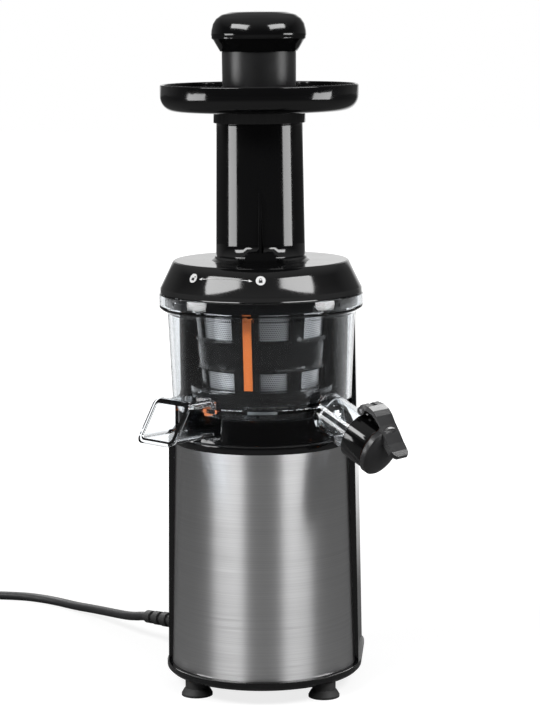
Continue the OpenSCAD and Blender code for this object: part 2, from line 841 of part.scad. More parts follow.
module intermediate_pin() {
    color([0.75, 0.75, 0.77]) slab(z_case + 1, z_cover + 1.9 - z_case - 1)
        translate([0, mid_y]) circle(r = mid_pin_r);
}

module intermediate_gear() {
    color([0.9, 0.88, 0.8]) translate([0, mid_y, 0]) difference() {
        union() {
            translate([0, 0, z_gear1]) gear(stage1_m, wheel_teeth, gear_w - 0.5, motor_angle + 180 / wheel_teeth);
            translate([0, 0, z_gear1 + gear_w - 1])
                gear(stage2_m, pinion_teeth, gear_w + gear_space + 1, -90);
        }
        slab(z_gear1 - eps, far) circle(r = mid_pin_r + run_gap);
    }
}

module output_gear() {
    color([0.85, 0.83, 0.75]) difference() {
        translate([0, 0, z_gear2]) gear(stage2_m, wheel_teeth, gear_w, 90 + 180 / wheel_teeth);
        slab(z_gear2 - eps, gear_w + 2 * eps) circle(r = shaft_r);
    }
}

module drive_shaft() {
    hex_h = 19;
    color([0.75, 0.75, 0.77]) {
        slab(z_case + 2 + seat_gap, z_collar + 1 - z_case - 2 - seat_gap) circle(r = shaft_r);
        slab(z_collar + 0.9, hex_h) circle(r = hex_af / 2 / cos(30), $fn = 6);
    }
}

module shaft_bush() {
    color([0.7, 0.55, 0.3]) tube(bush_r, shaft_r + run_gap, z_cover, cover_t + 2);
}

// ---- Control, switch and cord ----

module control_board() {
    standoff = 5.4;
    y = back_y - shell_t - standoff - 1.6;
    color([0.1, 0.4, 0.2]) {
        translate([-board_w / 2, y, board_z]) cube([board_w, 1.6, board_h]);
        for (s = [-1, 1], z = [6, board_h - 6]) translate([s * (board_w / 2 - 5), y + 1.6 - eps, board_z + z])
            rotate([-90, 0, 0]) cylinder(r = 2.5, h = standoff + eps);
        // Capacitor and choke
        translate([-14, y + eps, board_z + 36]) rotate([90, 0, 0]) cylinder(r = 6, h = 14);
        translate([4, y - 10, board_z + 10]) cube([14, 10 + eps, 18]);
    }
}

module switch_bezel() {
    lip = 2.5;
    body = 16;
    wall = 2.5;
    color([0.12, 0.12, 0.12]) difference() {
        union() {
            translate([-switch_w / 2 - lip, back_y, switch_z - switch_h / 2 - lip])
                cube([switch_w + 2 * lip, 1.6, switch_h + 2 * lip]);
            translate([-switch_w / 2 + 0.2, back_y - body, switch_z - switch_h / 2 + 0.2])
                cube([switch_w - 0.4, body + eps, switch_h - 0.4]);
        }
        translate([wall - switch_w / 2, back_y + 1.6 - rocker_r, switch_z - switch_h / 2 + 2])
            cube([switch_w - 2 * wall, rocker_r + 1, switch_h - 4]);
        // Bores of the rocker's pivots
        translate([0, rocker_y, switch_z]) rotate([0, 90, 0])
            cylinder(r = pivot_r + run_gap, h = switch_w - wall, center = true);
    }
}

module power_rocker() {
    w = switch_w - 6;
    half = switch_h / 2 - 3.2;
    color([0.07, 0.07, 0.07]) translate([0, rocker_y, switch_z]) {
        rotate([90, 0, 90]) linear_extrude(w, center = true) polygon([
            [-4, -half + 2], [3.4, -half], [5.4, -half], [4.4, -half / 2], [4, 0], [4.4, half / 2], [5.4, half],
            [3.4, half], [-4, half - 2]
        ]);
        rotate([0, 90, 0]) cylinder(r = pivot_r, h = switch_w - 3, center = true);
    }
}

module strain_relief() {
    ribs = 4;
    pitch = 10.4;
    flange_z = 2.6;
    neck_r = gland_r - 1.1;
    color([0.1, 0.1, 0.1]) at_gland() rotate_extrude() polygon(concat(
        [[0, -6], [neck_r, -6], [neck_r, flange_z], [gland_r + 1.4, flange_z], [gland_r + 1.4, flange_z + 2.2]],
        [for (i = [0 : ribs - 1]) let (r = gland_r - i * 0.35, z = flange_z + 2.8 + i * pitch) each [
            [r - 1.6, z], [r - 1.6, z + 3.2], [r, z + 3.8], [r, z + pitch - 0.4]]],
        [[cord_d / 2 + 0.7, gland_l], [0, gland_l]]
    ));
}

// Round tube along a list of points; each ring lies square to the route
function ring_at(path, i, r, sides) =
    let (last = len(path) - 1,
         along = path[min(i + 1, last)] - path[max(i - 1, 0)],
         d = along / norm(along),
         side = cross([0, 0, 1], d) / norm(cross([0, 0, 1], d)),
         up = cross(d, side))
    [for (k = [0 : sides - 1]) path[i] + r * (cos(k * 360 / sides) * side + sin(k * 360 / sides) * up)];

module swept_tube(path, r, sides) {
    rings = len(path);
    polyhedron(
        points = [for (i = [0 : rings - 1]) each ring_at(path, i, r, sides)],
        faces = concat(
            [[for (k = [sides - 1 : -1 : 0]) k]],
            [for (i = [0 : rings - 2]) for (k = [0 : sides - 1])
                let (a = i * sides, b = a + sides, n = (k + 1) % sides) [a + k, a + n, b + n, b + k]],
            [[for (k = [0 : sides - 1]) (rings - 1) * sides + k]]
        ));
}

module power_cord() {
    color([0.12, 0.12, 0.13]) swept_tube(cord_route, cord_d / 2, 10);
}

module cord_coil() {
    color([0.12, 0.12, 0.13]) translate([coil_at[0], coil_at[1], 0]) rotate_extrude()
        translate([coil_r - cord_d, 0]) square([2 * cord_d, 2 * cord_d]);
}

module mains_plug() {
    pin_l = 19;
    z = 2 * cord_d + plug_w / 2 - 1;
    color([0.12, 0.12, 0.13]) translate([coil_at[0] - coil_r, coil_at[1] + plug_ahead, z]) {
        hull() for (s = [-1, 1]) translate([s * (plug_w / 2 - 2), -plug_l / 2, 0])
            rotate([-90, 0, 0]) cylinder(r = plug_w / 2 - 1, h = plug_l, $fn = 24);
        translate([0, eps - plug_l / 2, 0]) rotate([90, 0, 0]) cylinder(r = cord_d / 2 + 1, h = 12);
        for (s = [-1, 1]) translate([s * plug_w * 0.3, plug_l / 2 - eps, 0]) rotate([-90, 0, 0])
            cylinder(r = 2, h = pin_l);
    }
}

// ---- Bowl ----

module duct_section(w, z0, z1, r) {
    translate([-w / 2, z0 + r]) square([w, z1 - z0 - 2 * r]);
    translate([r - w / 2, z0]) square([w - 2 * r, z1 - z0]);
    for (sy = [-1, 1], z = [z0 + r, z1 - r]) translate([sy * (w / 2 - r), z]) circle(r = r);
}

// The section runs outwards from r0 to r1 along the spout
module duct_run(w, z0, z1, r, r0, r1) {
    translate([r0, 0, 0]) rotate([90, 0, 90]) linear_extrude(r1 - r0) duct_section(w, z0, z1, r);
}

// Everything inside the slanted plane of the mouth, shifted out along the spout by out
module mouth_side(out) {
    rotate([90, 0, 0]) translate([0, 0, -far / 2]) linear_extrude(far) polygon([
        [-far, duct_z0 - 20], [duct_reach + out + duct_slant * (1 + 20 / duct_h), duct_z0 - 20],
        [duct_reach + out - duct_slant * 20 / duct_h, duct_z1 + 20], [-far, duct_z1 + 20]
    ]);
}

module bowl_shell() {
    r0 = bowl_r0 - bowl_t;
    z0 = z_skirt;
    wall_z = z_bowl + bowl_rise;
    step_z = z_rim - rim_h;
    rotate_extrude() polygon([
        [hub_r, z_bowl - bowl_floor_t], [skirt_r - 3, z_bowl - bowl_floor_t], [skirt_r - 3, z0], [skirt_r, z0],
        [skirt_r, z_bowl - 0.5], [bowl_r0, z_bowl + 0.8], [bowl_r1, wall_z],
        [rim_r - 1.2, step_z], [rim_r, step_z + 1.2], [rim_r, z_rim - 0.6], [rim_r - 0.6, z_rim],
        [rim_r - rim_t, z_rim], [rim_r - rim_t, step_z + 2.8],
        [bowl_r1 - bowl_t, wall_z + 1.6], [r0, z_bowl], [hub_r, z_bowl]
    ]);
}

module juice_bowl() {
    bore_r = spout_r - spout_t;
    chan_w = duct_w - 2 * spout_t;
    color([0.8, 0.86, 0.92, 0.35]) difference() {
        union() {
            bowl_shell();
            // Juice spout, outside the skirt
            difference() {
                at_spout() translate([0, 0, -30]) cylinder(r = spout_r, h = cap_l + 30);
                slab(0, far) circle(r = skirt_r - 0.5);
                slab(0, z_skirt) circle(r = collar_r + play);
                translate([0, 0, z_bowl]) cylinder(r1 = bowl_r0 - 1, r2 = bowl_r0 - 1 + wall_lean * 100, h = 100);
            }
            // Pulp spout outside, and its channel under the floor
            difference() {
                intersection() {
                    at_duct() union() {
                        intersection() {
                            duct_run(duct_w, duct_z0, duct_z1, 4, skirt_r - 4, far);
                            mouth_side(0);
                        }
                        // Thicker lip round the mouth
                        difference() {
                            intersection() {
                                duct_run(duct_w + 2.4, duct_z0 - 1.2, duct_z1 + 1.2, 5, skirt_r + 4, far);
                                mouth_side(0);
                            }
                            mouth_side(-2.6);
                        }
                    }
                    slab(0, z_rim) difference() {
                        circle(r = far / 2);
                        circle(r = skirt_r - 3.5);
                    }
                }
                translate([0, 0, z_bowl]) cylinder(r1 = bowl_r0 - 1, r2 = bowl_r0 - 1 + wall_lean * 100, h = 100);
            }
            intersection() {
                at_duct() translate([duct_in, -duct_w / 2, duct_z0])
                    cube([skirt_r - duct_in, duct_w, z_bowl - bowl_floor_t + 1 - duct_z0]);
                slab(0, far) circle(r = skirt_r - 0.2);
            }
            // Post of the wiper's pinion
            rotate([0, 0, planet_az]) translate([sun_r + planet_r, 0, z_bowl - 1])
                cylinder(r = 3, h = wiper_gear_w + 1.6);
            // Ramps that hold the lid's lugs down
            for (i = [0 : lugs - 1]) ring_sector(lid_skirt_r + seat_gap, rim_r - rim_t + 0.3,
                z_lid - skirt_drop + lug_h + 0.5, z_lid - skirt_drop + lug_h + 2.5, i * 360 / lugs + 45 - lug_arc / 2,
                lug_arc);
            // Filler bump at the front of the rim
            rotate([0, 0, -92]) translate([rim_r - 1, 0, z_rim - rim_h / 2 - 1]) rotate([0, 90, 0])
                cylinder(r = 4, h = 1.9);
        }
        // Juice spout's bore, and its window in the bowl's wall
        difference() {
            at_spout() cylinder(r = bore_r, h = far);
            slab(0, far) circle(r = skirt_r + 0.8);
        }
        intersection() {
            at_spout() translate([0, 0, -20]) cylinder(r = bore_r, h = 40);
            slab(z_bowl, 30) circle(r = bowl_r0 + 4);
        }
        // Pulp spout's passage, from the port in the floor to the mouth
        at_duct() duct_run(chan_w, duct_z0 + spout_t, duct_z1 - spout_t, 2.4, skirt_r + 0.8, far);
        at_duct() translate([duct_in + spout_t, -chan_w / 2, duct_z0 + spout_t])
            cube([skirt_r + 2 - duct_in - spout_t, chan_w, z_bowl - bowl_floor_t - duct_z0 - spout_t]);
        at_duct() translate([port_r0, -port_w / 2, z_bowl - bowl_floor_t - 1])
            cube([port_r1 - port_r0, port_w, bowl_floor_t + 2]);
        at_pulp_plug() translate([0, 0, -1]) cylinder(r = pulp_stem_r, h = pulp_stem_h + 1);
    }
}

// Underside of the bowl's floor, in the channel just outside the port
module at_pulp_plug() {
    at_duct() translate([skirt_r - 7.5, 0, z_bowl - bowl_floor_t]) children();
}

module pulp_plug() {
    color([0.87, 0.45, 0.15]) at_pulp_plug() {
        translate([0, 0, -pulp_plug_h]) cylinder(r1 = pulp_plug_r - 0.6, r2 = pulp_plug_r, h = pulp_plug_h);
        translate([0, 0, -eps]) cylinder(r = pulp_stem_r, h = pulp_stem_h + eps);
    }
}

// Side view across the juice spout, x out along it and y up across it
module across_spout(w) {
    at_spout() rotate([90, -90, 0]) linear_extrude(w, center = true) children();
}

module spout_collar() {
    color([0.08, 0.08, 0.08]) difference() {
        union() {
            at_spout() translate([0, 0, spout_l]) rotate_extrude() polygon([
                [spout_r, 0], [collar_r_out - 0.8, 0], [collar_r_out, 0.8],
                [collar_r_out, spout_collar_l], [spout_r, spout_collar_l]
            ]);
            // Ear of the cap's hinge
            across_spout(ear_w) {
                translate([hinge_out, hinge_up]) circle(r = ear_r);
                translate([spout_l + 0.2, spout_r + 1]) square([ear_r + 1, hinge_up - spout_r - 1]);
            }
        }
        across_spout(far) translate([hinge_out, hinge_up]) circle(r = hinge_r);
    }
}

// Outline of the cap's lever seen from above, x out along the spout
module tab_plan() {
    straight = tab_end - tab_round;
    translate([0, -strap_w / 2]) square([straight, strap_w]);
    translate([0, tab_round - strap_w / 2]) square([tab_end, strap_w - 2 * tab_round]);
    for (s = [-1, 1]) translate([straight, s * (strap_w / 2 - tab_round)]) circle(r = tab_round);
}

module cap_hinge_pin() {
    color([0.6, 0.6, 0.62]) across_spout(strap_w - 1) translate([hinge_out, hinge_up])
        circle(r = hinge_r);
}

module drip_cap() {
    color([0.13, 0.13, 0.13]) difference() {
        union() {
            // Domed disc with a rim
            at_spout() translate([0, 0, cap_l + cap_gap]) rotate_extrude() polygon([
                [0, 0], [cap_r, 0], [cap_r, cap_t - 1], [cap_r - 0.8, cap_t], [cap_r - 6, cap_t + 2.6],
                [cap_r - 12, cap_t + 4.2], [0, cap_t + 5]
            ]);
            // Lever over the collar, from the hinge to the rounded finger tab
            intersection() {
                across_spout(strap_w) {
                    polygon(lever_line);
                    translate([hinge_out, hinge_up]) circle(r = knuckle_r);
                }
                at_spout() rotate([0, -90, 0]) linear_extrude(far) tab_plan();
            }
        }
        // Fork round the collar's ear
        across_spout(ear_w + 2 * seat_gap) translate([hinge_out - 8, hinge_up - 8])
            square([12 + seat_gap, 20]);
        across_spout(far) translate([hinge_out, hinge_up]) circle(r = hinge_r + run_gap);
        // Seat of the seal
        at_spout() translate([0, 0, cap_l]) cylinder(r = collar_r_out - 1, h = cap_gap + 1);
    }
}

module cap_seal() {
    color([0.87, 0.45, 0.15]) at_spout() translate([0, 0, cap_l + seat_gap])
        cylinder(r = collar_r_out - 1, h = cap_gap + 1 - seat_gap);
}

// ---- Strainer, wiper and auger ----

function strainer_in(z) = strainer_r0 + strainer_lean * (z - z_plate);

module strainer_mesh() {
    z0 = z_plate + plate_t;
    h = z_strainer - 2 - z0;
    r0 = strainer_in(z0) + mesh_t - run_gap;
    r1 = strainer_in(z0 + h) + mesh_t - run_gap;
    color([0.7, 0.7, 0.72]) cone_shell(r0, r1, mesh_t - run_gap, z0, h);
}

module strainer_frame() {
    wall = mesh_t + frame_t;
    z0 = z_plate + plate_t;
    gap = 360 / windows - window_bar;
    band_lip = 0.8;
    color([0.07, 0.07, 0.07]) difference() {
        union() {
            rotate_extrude() polygon([
                [spigot_r + play, z_plate], [strainer_in(z_plate) + wall - 0.6, z_plate],
                [strainer_in(low_z1) + wall - 0.6, low_z1], [strainer_in(low_z1) + wall + band_lip, low_z1],
                [strainer_in(low_z1) + wall + band_lip, low_z1 + 1.2], [strainer_in(low_z1) + wall, low_z1 + 1.6],
                [strainer_in(high_z0) + wall, high_z0 - 1.6],
                [strainer_in(high_z0) + wall + band_lip, high_z0 - 1.2],
                [strainer_in(high_z0) + wall + band_lip, high_z0], [strainer_in(high_z0) + wall - 0.3, high_z0],
                [strainer_in(z_strainer) + wall, z_strainer], [strainer_in(z_strainer - 2), z_strainer],
                [strainer_in(z_strainer - 2), z_strainer - 2],
                [strainer_in(z_strainer - 2) + mesh_t, z_strainer - 2], [strainer_in(z0) + mesh_t, z0],
                [spigot_r + play, z0]
            ]);
            // Pulp chute from the floor plate down to the bowl's port
            at_duct() translate([port_r0 + 0.3, -port_w / 2 + 0.3, z_bowl])
                cube([port_r1 - port_r0 - 0.6, port_w - 0.6, z_plate + 1 - z_bowl]);
        }
        at_duct() translate([port_r0 + 2, -port_w / 2 + 2, z_bowl - 1])
            cube([port_r1 - port_r0 - 4, port_w - 4, z0 + 2 - z_bowl]);
        for (i = [0 : windows - 1]) {
            from = bar_az + window_bar / 2 + i * 360 / windows;
            ring_sector(strainer_in(low_z0) - 1, strainer_r1 + 8, low_z0, low_z1 - 1, from, gap);
            ring_sector(strainer_in(high_z0) - 1, strainer_r1 + 8, high_z0 + 1, high_z1, from, gap);
        }
    }
}

// Slanted bar beside the strainer, from its inner to its outer radius at the two heights
module slanted_bar(w, z0, z1, from, to) {
    rotate([90, 0, 0]) translate([0, 0, -w / 2]) linear_extrude(w) polygon([
        [strainer_in(z0) + from, z0], [strainer_in(z0) + to, z0],
        [strainer_in(z1) + to, z1], [strainer_in(z1) + from, z1]
    ]);
}

module wiper_frame() {
    r0 = strainer_in(wiper_z1) + post_in;
    r1 = strainer_in(wiper_top) + post_in;
    notches = 30;
    color([0.09, 0.09, 0.09]) difference() {
        union() {
            slab(gear_z + wiper_gear_w - 1, wiper_z1 - gear_z - wiper_gear_w + 1) difference() {
                circle(r = ring_out);
                circle(r = ring_r + wiper_m * 1.25 + 0.6);
            }
            slab(gear_z, wiper_gear_w) difference() {
                circle(r = ring_out - 1);
                rotate([0, 0, planet_az + 180 / ring_teeth])
                    gear_outline(wiper_m, ring_teeth, -backlash, 1.25, 1);
            }
            slab(wiper_top - wiper_top_h, wiper_top_h) difference() {
                circle(r = r1 + post_t);
                circle(r = r1);
            }
            for (i = [0 : posts - 1]) rotate([0, 0, post_az + i * 360 / posts])
                slanted_bar(post_w, wiper_z1 - 1, wiper_top - 0.5, post_in, post_in + post_t);
        }
        for (i = [0 : posts - 1]) rotate([0, 0, post_az + i * 360 / posts])
            slanted_bar(blade_w, wiper_z1 + 1.5, wiper_top + 1, post_in - 2, post_in + post_t + 2);
        for (i = [0 : notches - 1]) rotate([0, 0, i * 360 / notches + 3])
            translate([ring_out - 1.5, -2, gear_z - eps]) cube([4, 4, 3]);
    }
}

module wiper_blades() {
    color([0.87, 0.45, 0.15]) for (i = [0 : posts - 1]) rotate([0, 0, post_az + i * 360 / posts])
        slanted_bar(blade_w, wiper_z1 + 1.5, wiper_top - 0.2, post_in - wiper_gap + seat_gap + 0.9, post_in + post_t + 1.2);
}

module wiper_pinion() {
    color([0.85, 0.85, 0.83]) rotate([0, 0, planet_az]) translate([sun_r + planet_r, 0, 0])
        difference() {
            translate([0, 0, gear_z]) gear(wiper_m, planet_teeth, wiper_gear_w, 180 / planet_teeth);
            slab(gear_z - eps, far) circle(r = 3 + run_gap);
        }
}

module auger_screw() {
    flight_r = strainer_in(z_auger) - auger_gap;
    top_r = strainer_in(z_auger + auger_h) - auger_gap;
    half = 26;            // half the flight's width, degrees
    color([0.1, 0.1, 0.1]) difference() {
        translate([0, 0, z_auger]) linear_extrude(height = auger_h, twist = -360 * flight_turns,
            scale = top_r / flight_r, slices = 40, segments = 1)
            polygon(concat(arc([0, 0], core_r, half, 360 - half, 18),
                arc([0, 0], flight_r, -half * 0.55, half * 0.55, 5)));
        slab(z_auger - eps, spigot_h) circle(r = spigot_r);
    }
}

module auger_hub() {
    color([0.8, 0.8, 0.78]) difference() {
        union() {
            slab(z_bowl - bowl_floor_t + 0.2, gear_z + 1 - z_bowl + bowl_floor_t - 0.2)
                circle(r = hub_r - run_gap);
            translate([0, 0, gear_z]) rotate([0, 0, planet_az]) gear(wiper_m, sun_teeth, wiper_gear_w, 0);
            slab(gear_z + wiper_gear_w - eps, z_auger + spigot_h - eps - gear_z - wiper_gear_w)
                circle(r = spigot_r);
        }
        slab(z_bowl - bowl_floor_t, hex_clear_h) circle(r = hex_af / 2 / cos(30) + 0.2, $fn = 6);
    }
}

module auger_pin() {
    color([0.75, 0.75, 0.77]) slab(z_auger + auger_h, pin_h) circle(r = pin_r);
}

// ---- Lid, tray and pusher ----

module lid() {
    chute_in = chute_r1 - chute_t;
    foot_z = z_lid - 3;
    z_pin = z_auger + auger_h + 0.6;
    color([0.05, 0.05, 0.05]) {
        rotate_extrude() polygon([
            [lid_skirt_r, z_lid - skirt_drop], [lid_skirt_r, z_lid], [lid_r - 0.6, z_lid],
            [lid_r, z_lid + 0.6], [lid_r, z_lid + lid_flange - 0.5], [lid_r - 0.4, z_lid + lid_flange],
            [lid_top_r + 0.4, z_lid_top - 0.5], [lid_top_r - 0.6, z_lid_top],
            [chute_r0 + 3.4, z_lid_top], [chute_r0 + 1.2, z_lid_top + 1.6], [chute_r0 + 0.7, z_lid_top + 3],
            [chute_r0 - 0.3, z_lid_top + 3.3], [chute_r0 - 0.3, z_lid_top + 3.9],
            [chute_r0, z_lid_top + 4.3], [chute_r1, z_chute - 0.4], [chute_r1 - 0.4, z_chute],
            [chute_in, z_chute], [chute_r0 - chute_t, z_lid_top], [chute_r0 - chute_t, foot_z],
            [chute_r0, foot_z], [chute_r0, z_lid_top - lid_t], [lid_top_r - 1.6, z_lid_top - lid_t],
            [lid_skirt_r - 2.2, z_lid + lid_flange - 0.8], [lid_skirt_r - 2.2, z_lid - skirt_drop]
        ]);
        // Ring that closes the strainer's top
        tube(strainer_r1 + 3, strainer_r1 + 0.4, z_strainer + seat_gap,
            z_lid_top - lid_t / 2 - z_strainer - seat_gap);
        // Lugs that turn under the bowl's ramps
        for (i = [0 : lugs - 1]) ring_sector(lid_skirt_r - 1, lug_r, z_lid - skirt_drop,
            z_lid - skirt_drop + lug_h, i * 360 / lugs + 45 - lug_arc / 2, lug_arc);
        rotate([0, 0, boss_turn]) chute_boss();
        // Web across the chute with the auger's upper bush
        difference() {
            union() {
                translate([-chute_r0 + 1, -3.5, z_lid - 2]) cube([2 * chute_r0 - 2, 7, bush_top - z_lid + 2]);
                slab(z_pin, bush_top - z_pin) circle(r = pin_r + 4);
            }
            slab(z_pin - eps, pin_h) circle(r = pin_r + run_gap);
        }
    }
}

// Arched boss and thin rib at the front of the chute
module chute_boss() {
    translate([0, -chute_r0 + 1, z_lid_top - 0.5]) rotate([90, 0, 0]) linear_extrude(5.5) polygon(concat(
        [[-boss_w / 2 - 3.4, 0], [boss_w / 2 + 3.4, 0], [boss_w / 2 + 0.8, 1.6], [boss_w / 2, 4]],
        arc([boss_w / 2 - 3, boss_h - 2.5], 3, 0, 90, 5),
        arc([3 - boss_w / 2, boss_h - 2.5], 3, 90, 180, 5),
        [[-boss_w / 2, 4], [-boss_w / 2 - 0.8, 1.6]]
    ));
    translate([-0.8, 0, 0]) rotate([90, 0, 90]) linear_extrude(1.6) polygon([
        [-chute_r0 + 1.6, z_lid_top + boss_h - 1], [-chute_r0 - 4, z_lid_top + boss_h - 1],
        [-chute_r0 - 3, z_lid_top + boss_h + 6], [-chute_r0 + 0.7, z_lid_top + 51],
        [-chute_r0 + 1.6, z_lid_top + 51]
    ]);
}

module lid_seal() {
    color([0.25, 0.25, 0.25]) tube(lid_skirt_r - 2.2, lid_skirt_r - 4.2, z_lid - skirt_drop + 3, 5);
}

module feed_tray() {
    r_in = chute_r1 + 0.3;
    hole = stem_r + 0.7;
    rise = z_hopper_rim - z_hopper;
    color([0.05, 0.05, 0.05]) translate([0, 0, z_hopper]) rotate_extrude() polygon(concat(
        [[r_in, -sleeve_drop], [r_in + sleeve_t, -sleeve_drop], [r_in + sleeve_t, 0.4],
         [hopper_r - hopper_round - 8, 0.4]],
        arc([hopper_r - hopper_round, hopper_round + 0.4], hopper_round, -90, 0, 10),
        [[hopper_r, rise - 0.8], [hopper_r - 0.8, rise], [hopper_r - hopper_t, rise - 0.4],
         [hopper_r - hopper_t, hopper_round + 0.4]],
        arc([hopper_r - hopper_round, hopper_round + 0.4], hopper_round - hopper_t, 0, -90, 8),
        [[hole + 4, hopper_t + 0.4], [hole + 2.6, hopper_t + 2.4], [hole, hopper_t + 2.4], [hole, 0], [r_in, 0]]
    ));
}

module pusher_stem() {
    r0 = stem_r - stem_taper;
    h = z_knob + 1 - z_stem;
    color([0.09, 0.09, 0.09]) translate([0, 0, z_stem]) rotate_extrude() polygon([
        [0, 0], [r0 - 1.5, 0], [r0, 1.5], [stem_r, h], [stem_r - stem_t, h], [r0 - stem_t, stem_t], [0, stem_t]
    ]);
}

module pusher_knob() {
    flare = 8;
    color([0.09, 0.09, 0.09]) translate([0, 0, z_knob]) rotate_extrude() polygon([
        [stem_r + 0.1, 0], [stem_r + 1.2, 0], [knob_r - 1.6, flare], [knob_r - 0.3, flare + 1.2],
        [knob_r - 0.3, flare + 3], [knob_r, flare + 3.6], [knob_r - 0.3, flare + 7], [knob_r - 1.4, flare + 11.5],
        [knob_r - 3.6, knob_h - 5.5], [knob_r - 7.5, knob_h - 2.6], [knob_r - 14, knob_h - 0.8],
        [0, knob_h], [0, knob_h - 3], [knob_r - 9, knob_h - 6], [stem_r - stem_t - 1, knob_h - 9],
        [stem_r - stem_t - 1, 1.2], [stem_r + 0.1, 1.2]
    ]);
}

foot(-foot_x, -foot_front_y);  // foot_front_left
foot(foot_x, -foot_front_y);  // foot_front_right
foot(-foot_x, foot_rear_y);  // foot_rear_left
foot(foot_x, foot_rear_y);  // foot_rear_right
base_tray();
base_screws();
body_core();
steel_sleeve();
rear_housing();
top_deck();
shaft_seal();
motor_dampers();
motor_bell_lower();
motor_stator();
motor_windings();
motor_bell_upper();
motor_bearings();
carbon_brushes();
motor_shaft();
rotor_core();
commutator();
cooling_fan();
motor_pinion();
gearbox_case();
gearbox_cover();
gearbox_screws();
intermediate_pin();
intermediate_gear();
output_gear();
drive_shaft();
shaft_bush();
control_board();
switch_bezel();
power_rocker();
strain_relief();
power_cord();
cord_coil();
mains_plug();
juice_bowl();
pulp_plug();
spout_collar();
cap_hinge_pin();
drip_cap();
cap_seal();
strainer_frame();
strainer_mesh();
wiper_frame();
wiper_blades();
wiper_pinion();
auger_screw();
auger_hub();
auger_pin();
lid();
lid_seal();
feed_tray();
pusher_stem();
pusher_knob();
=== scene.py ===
import math

import bpy
from mathutils import Matrix, Vector


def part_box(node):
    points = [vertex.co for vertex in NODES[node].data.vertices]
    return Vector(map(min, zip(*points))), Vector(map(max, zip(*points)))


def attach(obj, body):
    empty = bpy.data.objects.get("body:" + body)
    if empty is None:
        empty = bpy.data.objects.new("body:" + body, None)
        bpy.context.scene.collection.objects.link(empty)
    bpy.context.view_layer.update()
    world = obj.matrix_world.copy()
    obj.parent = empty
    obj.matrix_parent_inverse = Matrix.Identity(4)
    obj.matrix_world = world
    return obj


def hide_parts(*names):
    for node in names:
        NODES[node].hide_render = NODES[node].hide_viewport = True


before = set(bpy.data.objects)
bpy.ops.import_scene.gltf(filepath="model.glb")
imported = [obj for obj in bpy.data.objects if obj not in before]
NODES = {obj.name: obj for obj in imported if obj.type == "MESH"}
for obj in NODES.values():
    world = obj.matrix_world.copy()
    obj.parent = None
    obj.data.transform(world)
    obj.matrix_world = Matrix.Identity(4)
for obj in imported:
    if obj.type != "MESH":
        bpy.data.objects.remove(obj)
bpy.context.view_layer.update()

MM = 0.001
scene = bpy.context.scene


def in_scene(name, data):
    """Puts a new object with the given data into the scene."""
    obj = bpy.data.objects.new(name, data)
    scene.collection.objects.link(obj)
    return obj


# ---- Camera, at the photograph's angle ----

CAMERA_AZ = math.radians(4.5)      # to the right of the front
CAMERA_PITCH = math.radians(8.35)  # downwards
CAMERA_ROLL = math.radians(-0.5)
CAMERA_DISTANCE, CAMERA_HEIGHT, CAMERA_SIDE = 1.713, 0.491, 0.006
LENS, SENSOR = 119.35, 36          # in millimetres
NEAREST_SEEN = 0.05


def make_camera():
    data = bpy.data.cameras.new("camera")
    data.lens = LENS
    data.sensor_width = SENSOR
    data.clip_start = NEAREST_SEEN
    camera = in_scene("camera", data)
    s, c = math.sin(CAMERA_AZ), math.cos(CAMERA_AZ)
    place = Vector((CAMERA_DISTANCE * s + CAMERA_SIDE * c,
                    CAMERA_SIDE * s - CAMERA_DISTANCE * c,
                    CAMERA_HEIGHT))
    turn = (Matrix.Rotation(CAMERA_AZ, 4, "Z")
            @ Matrix.Rotation(math.pi / 2 - CAMERA_PITCH, 4, "X")
            @ Matrix.Rotation(CAMERA_ROLL, 4, "Z"))
    camera.matrix_world = Matrix.Translation(place) @ turn
    scene.camera = camera


make_camera()


# ---- Mains cord ----

CORD_D = 7 * MM
COIL_AT = Vector((-0.306, 0.273, 0))
# The stretch from the gland to the coil, in millimetres
CORD_ROUTE = [
    (-99.7, 99.4, 21.9), (-104.5, 104.6, 20.8), (-110, 111.3, 18.9), (-117, 121, 16.6),
    (-125, 133, 14.4), (-133, 145, 12.5), (-141, 157, 10.6), (-150, 170, 8.6),
    (-159, 182, 6.8), (-168, 193, 5.2), (-178, 204, 4.1), (-190, 215, 3.6),
    (-204, 224, 3.6), (-220, 231, 3.6), (-238, 234, 3.6), (-256, 235, 3.6),
    (-272, 234, 3.6), (-286, 232.4, 3.6),
]
# Points of the coil as (turns so far, radius, height), lengths in millimetres; it winds clockwise
COIL_TURNS = [
    (0, 41.4, 3.6), (0.9, 41.4, 3.6), (1.1, 34.5, 3.6), (1.9, 34.5, 3.6),
    (2.1, 34.5, 10.5), (2.9, 34.5, 10.5), (3.1, 41.4, 10.5), (3.75, 41.4, 10.5),
    (3.9, 41.2, 11.5), (4.0, 40.6, 14.5), (4.08, 39.6, 17.8), (4.15, 38.8, 19.6),
]
COIL_START = math.radians(-90)
POINTS_PER_TURN = 20
CURVE_STEPS = 5
TAIL_INSET, TAIL_HEIGHT = 0.004, 0.020  # the cord's last point, inside the plug's end
TAIL_CLEAR, TAIL_STRAIGHT = 0.012, 0.008  # no point of the coil comes nearer to it than this


def catmull(points, steps):
    """Points on a smooth curve through the given ones."""
    out = []
    for i in range(len(points) - 1):
        a, b = points[max(i - 1, 0)], points[i]
        c, d = points[i + 1], points[min(i + 2, len(points) - 1)]
        for k in range(steps):
            t = k / steps
            out.append(0.5 * (2 * b + (c - a) * t + (2 * a - 5 * b + 4 * c - d) * t * t
                              + (3 * b - a - 3 * c + d) * t ** 3))
    out.append(points[-1])
    return out


